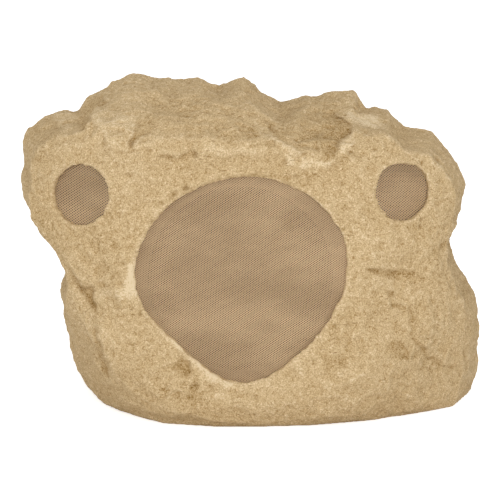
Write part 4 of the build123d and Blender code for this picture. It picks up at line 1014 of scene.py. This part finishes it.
def rock_material():
    """Sand coloured cast stone with a sandy grain, with painted light that makes ridges pale and painted shade
    that makes hollows and the grain's low spots darker towards ochre.
    """
    shader = Shader("rock", roughness=0.92, specular=0.18)
    rough = shader.noise(GRAIN_AND_SHADE_TONE[0], 3.0, 0.7, distortion=0.9)
    mottle = shader.swing(shader.noise(MOTTLE_TONE[0], 4.0, 0.65), MOTTLE_TONE[1])
    # the grain's tone follows the bump's height: painted shade in its low spots and painted light on its high
    # ones, over the sand's own grain
    grain = shader.swing(rough, GRAIN_AND_SHADE_TONE[1])
    sand = shader.swing(shader.noise(SAND_TONE[0], 1.0, 0.5), SAND_TONE[1])
    # painted shade in the hollows and painted light on the ridges
    hollow = shader.spread(shader.attribute("cavity"), -CAVITY_RANGE, CAVITY_RANGE, RIDGE_PAINTED_LIGHT, HOLLOW_PAINTED_SHADE)
    value = shader.swing(shader.noise(BROAD_TONE[0], 3.0, 0.6), BROAD_TONE[1])
    for layer in (mottle, grain, sand, hollow, shader.attribute("tone")):
        value = shader.math("ADD", value, layer)
    value = shader.math("ADD", value, MIDDLE_TONE, clamp=True)
    colour = shader.ramp(value, *ROCK_TONES)
    dash = shader.noise(DASH_SCALE, 2.0, 0.5, stretch=DASH_STRETCH, distortion=0.6)
    dash = shader.spread(dash, *DASH_RANGE, 0.0, DASH_DARK)
    cluster = shader.spread(shader.noise(CLUSTER_SCALE, 2.0, 0.5), *CLUSTER_RANGE)
    speck = shader.math("MULTIPLY", dash, cluster)
    patch = shader.spread(shader.noise(PATCH_SCALE, 3.0, 0.6), *PATCH_RANGE, PATCH_LEAST, 1.0)
    stain_and_shade = shader.math("MULTIPLY", shader.attribute("stain_and_shade"), patch)
    stain_and_shade = shader.math("MAXIMUM", stain_and_shade, speck)
    # brown where pits and cracks darken it, with a painted shadow along the woofer's top rim, and at the dark
    # dashes
    colour = shader.mix(stain_and_shade, colour, ROCK_BROWN)
    return shader.finish(colour, shader.bump(rough, *ROCK_BUMP))


def sheet_material():
    """Tan paint on perforated sheet, a little worn."""
    shader = Shader("grille_paint", roughness=0.62, specular=0.3)
    broad = shader.noise(PAINT_SCALE, 2.0, 0.5, stretch=PAINT_STRETCH)
    fine = shader.noise(WORN_SCALE, 3.0, 0.6)
    worn = shader.spread(fine, NOISE_LOW, NOISE_HIGH, 0.0, WORN_TONE)
    factor = shader.math("ADD", shader.spread(broad, *PAINT_RANGE, *PAINT_TONES), worn)
    colour = shader.ramp(factor, (0.0, SHEET_BROWN), (1.0, SHEET_TAN))
    return shader.finish(colour, shader.bump(fine, *PAINT_BUMP))


def mottled(name, dark, light, roughness, scale, metallic=0.0, specular=0.5, height=0.0002):
    """A moulded, painted, cast or woven surface: two tones of noise, with bump and roughness to match."""
    shader = Shader(name, roughness, metallic, specular)
    broad = shader.noise(scale / 12.0, 3.0, 0.6)
    fine = shader.noise(scale, 3.0, 0.6)
    halves = [shader.spread(value, NOISE_LOW, NOISE_HIGH, 0.0, 0.5) for value in (broad, fine)]
    colour = shader.ramp(shader.math("ADD", *halves), (0.0, dark), (1.0, light))
    gloss = shader.spread(fine, NOISE_LOW, NOISE_HIGH, roughness * 0.85, min(1.0, roughness * 1.15))
    return shader.finish(colour, shader.bump(fine, 0.4, height), gloss)


def wound(name, dark, light, pitch):
    """Wound wire: fine rounds one beside another, with painted shade in the grooves between them."""
    shader = Shader(name, roughness=0.3, metallic=1.0)
    wave = shader.add("ShaderNodeTexWave", wave_type="BANDS", bands_direction="Z")
    wave.inputs["Scale"].default_value = math.tau / (WAVE_TURN * pitch)
    wave.inputs["Distortion"].default_value = 0.4
    shader.set(wave.inputs["Vector"], shader.place)
    rounds = wave.outputs["Fac"]
    # darker copper where the bump is low: painted shade in the grooves between rounds
    colour = shader.ramp(rounds, (0.0, dark), (0.6, light))
    return shader.finish(colour, shader.bump(rounds, 0.6, pitch / 3.0))


def slot_materials():
    """A material for each slot of the record, apart from the rock and the grilles."""
    materials = {"copper_wire": wound("copper_wire", COPPER_DARK, COPPER_LIGHT, WIRE_PITCH)}
    for slot, (dark, light, roughness, scale, more) in SLOT_LOOKS.items():
        materials[slot] = mottled(slot, dark, light, roughness, scale, **more)
    return materials


def dress_nodes():
    """Give each CAD node its slot's material, apart from the rock and the grilles."""
    materials = slot_materials()
    for part in frame["record"]["subparts"]:
        material = materials.get(part["material_slot"])
        if material is not None:
            mesh = NODES[part["node"]].data
            mesh.materials.clear()
            mesh.materials.append(material)


def make_flexing_rings():
    """Copies of the rings that bend with the cone and the domes in the speaker, still at their outer edge and
    moving at their inner one, which take the place of the CAD rings.

    For a moment their points lie on one line, at their radii, and then they are put back.
    """
    for joint in frame["joints"]:
        axis = np.array(joint["axis"])
        for node in [flexing["node"] for flexing in joint["deforming_nodes"]]:
            ring = new_object(node + "_flex", NODES[node].data.copy())
            points = coordinates(ring.data)
            around = points - (points.min(axis=0) + points.max(axis=0)) / 2
            radii = np.linalg.norm(around - np.outer(around @ axis, axis), axis=1)
            unrolled = np.zeros_like(points)
            unrolled[:, 0] = radii
            set_coordinates(ring.data, unrolled)
            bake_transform(ring)
            set_coordinates(ring.data, points)
            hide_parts(node)


# Stage

def make_floor():
    """A white floor that keeps the object's shadow."""
    corners = [(FLOOR_REACH * x, FLOOR_REACH * y, 0.0) for x, y in ((-1, -1), (1, -1), (1, 1), (-1, 1))]
    mesh = bpy.data.meshes.new("floor")
    mesh.from_pydata(corners, [], [(0, 1, 2, 3)])
    floor = new_object("floor", mesh)
    shader = Shader("floor", roughness=0.9, specular=0.0)
    shader.surface.inputs["Base Color"].default_value = FLOOR_COLOUR
    path = shader.add("ShaderNodeLightPath")
    seen = shader.math("MAXIMUM", path.outputs["Is Camera Ray"], path.outputs["Is Glossy Ray"])
    seen = shader.math("MAXIMUM", seen, path.outputs["Is Transmission Ray"])
    shader.surface.inputs["Emission Color"].default_value = WHITE
    shader.set(shader.surface.inputs["Emission Strength"], shader.math("MULTIPLY", seen, FLOOR_GLOW))
    floor.data.materials.append(shader.material)


def make_world():
    """Even white surroundings: full white where seen, softer as light."""
    world = bpy.data.worlds.new("studio")
    bpy.context.scene.world = world
    world.use_nodes = True
    tree = world.node_tree
    back = tree.nodes["Background"]
    back.inputs["Color"].default_value = WHITE
    path = tree.nodes.new("ShaderNodeLightPath")
    strength = tree.nodes.new("ShaderNodeMapRange")
    strength.inputs["To Min"].default_value = WORLD_LIGHT
    strength.inputs["To Max"].default_value = WORLD_SEEN
    tree.links.new(path.outputs["Is Camera Ray"], strength.inputs["Value"])
    tree.links.new(strength.outputs["Result"], back.inputs["Strength"])


def make_lamp(name, place, aim, size, power):
    """A square soft lamp."""
    light = bpy.data.lights.new(name, "AREA")
    light.size = size
    light.energy = power
    lamp = new_object(name, light)
    lamp.location = place
    lamp.rotation_euler = (Vector(aim) - Vector(place)).to_track_quat("-Z", "Y").to_euler()


def make_camera():
    """The photo's view."""
    data = bpy.data.cameras.new("camera")
    data.sensor_width = SENSOR_WIDTH
    data.lens = SENSOR_WIDTH * PIXELS_PER_METRE * CAMERA_DISTANCE / IMAGE_SIZE
    camera = new_object("camera", data)
    forward = camera_axes()[2]
    camera.location = CAMERA_TARGET - CAMERA_DISTANCE * forward
    camera.rotation_euler = forward.to_track_quat("-Z", "Y").to_euler()
    bpy.context.scene.camera = camera


# The whole scene

sheets = {node: Sheet(node) for node in GRILLES}
rock = make_rock(sheets)
rock.data.materials.clear()
rock.data.materials.append(rock_material())
paint = sheet_material()
for node, name in GRILLES.items():
    crease = sheet_crease(sheets[node]) if node == "woofer_grille" else None
    grille = make_grille(node, name, sheets[node], crease)
    grille.data.materials.append(paint)
dress_nodes()
make_flexing_rings()
make_floor()
make_world()
for name, (place, aim, size, power) in LAMPS.items():
    make_lamp(name, place, aim, size, power)
make_camera()
bpy.context.scene.view_settings.view_transform = "Standard"
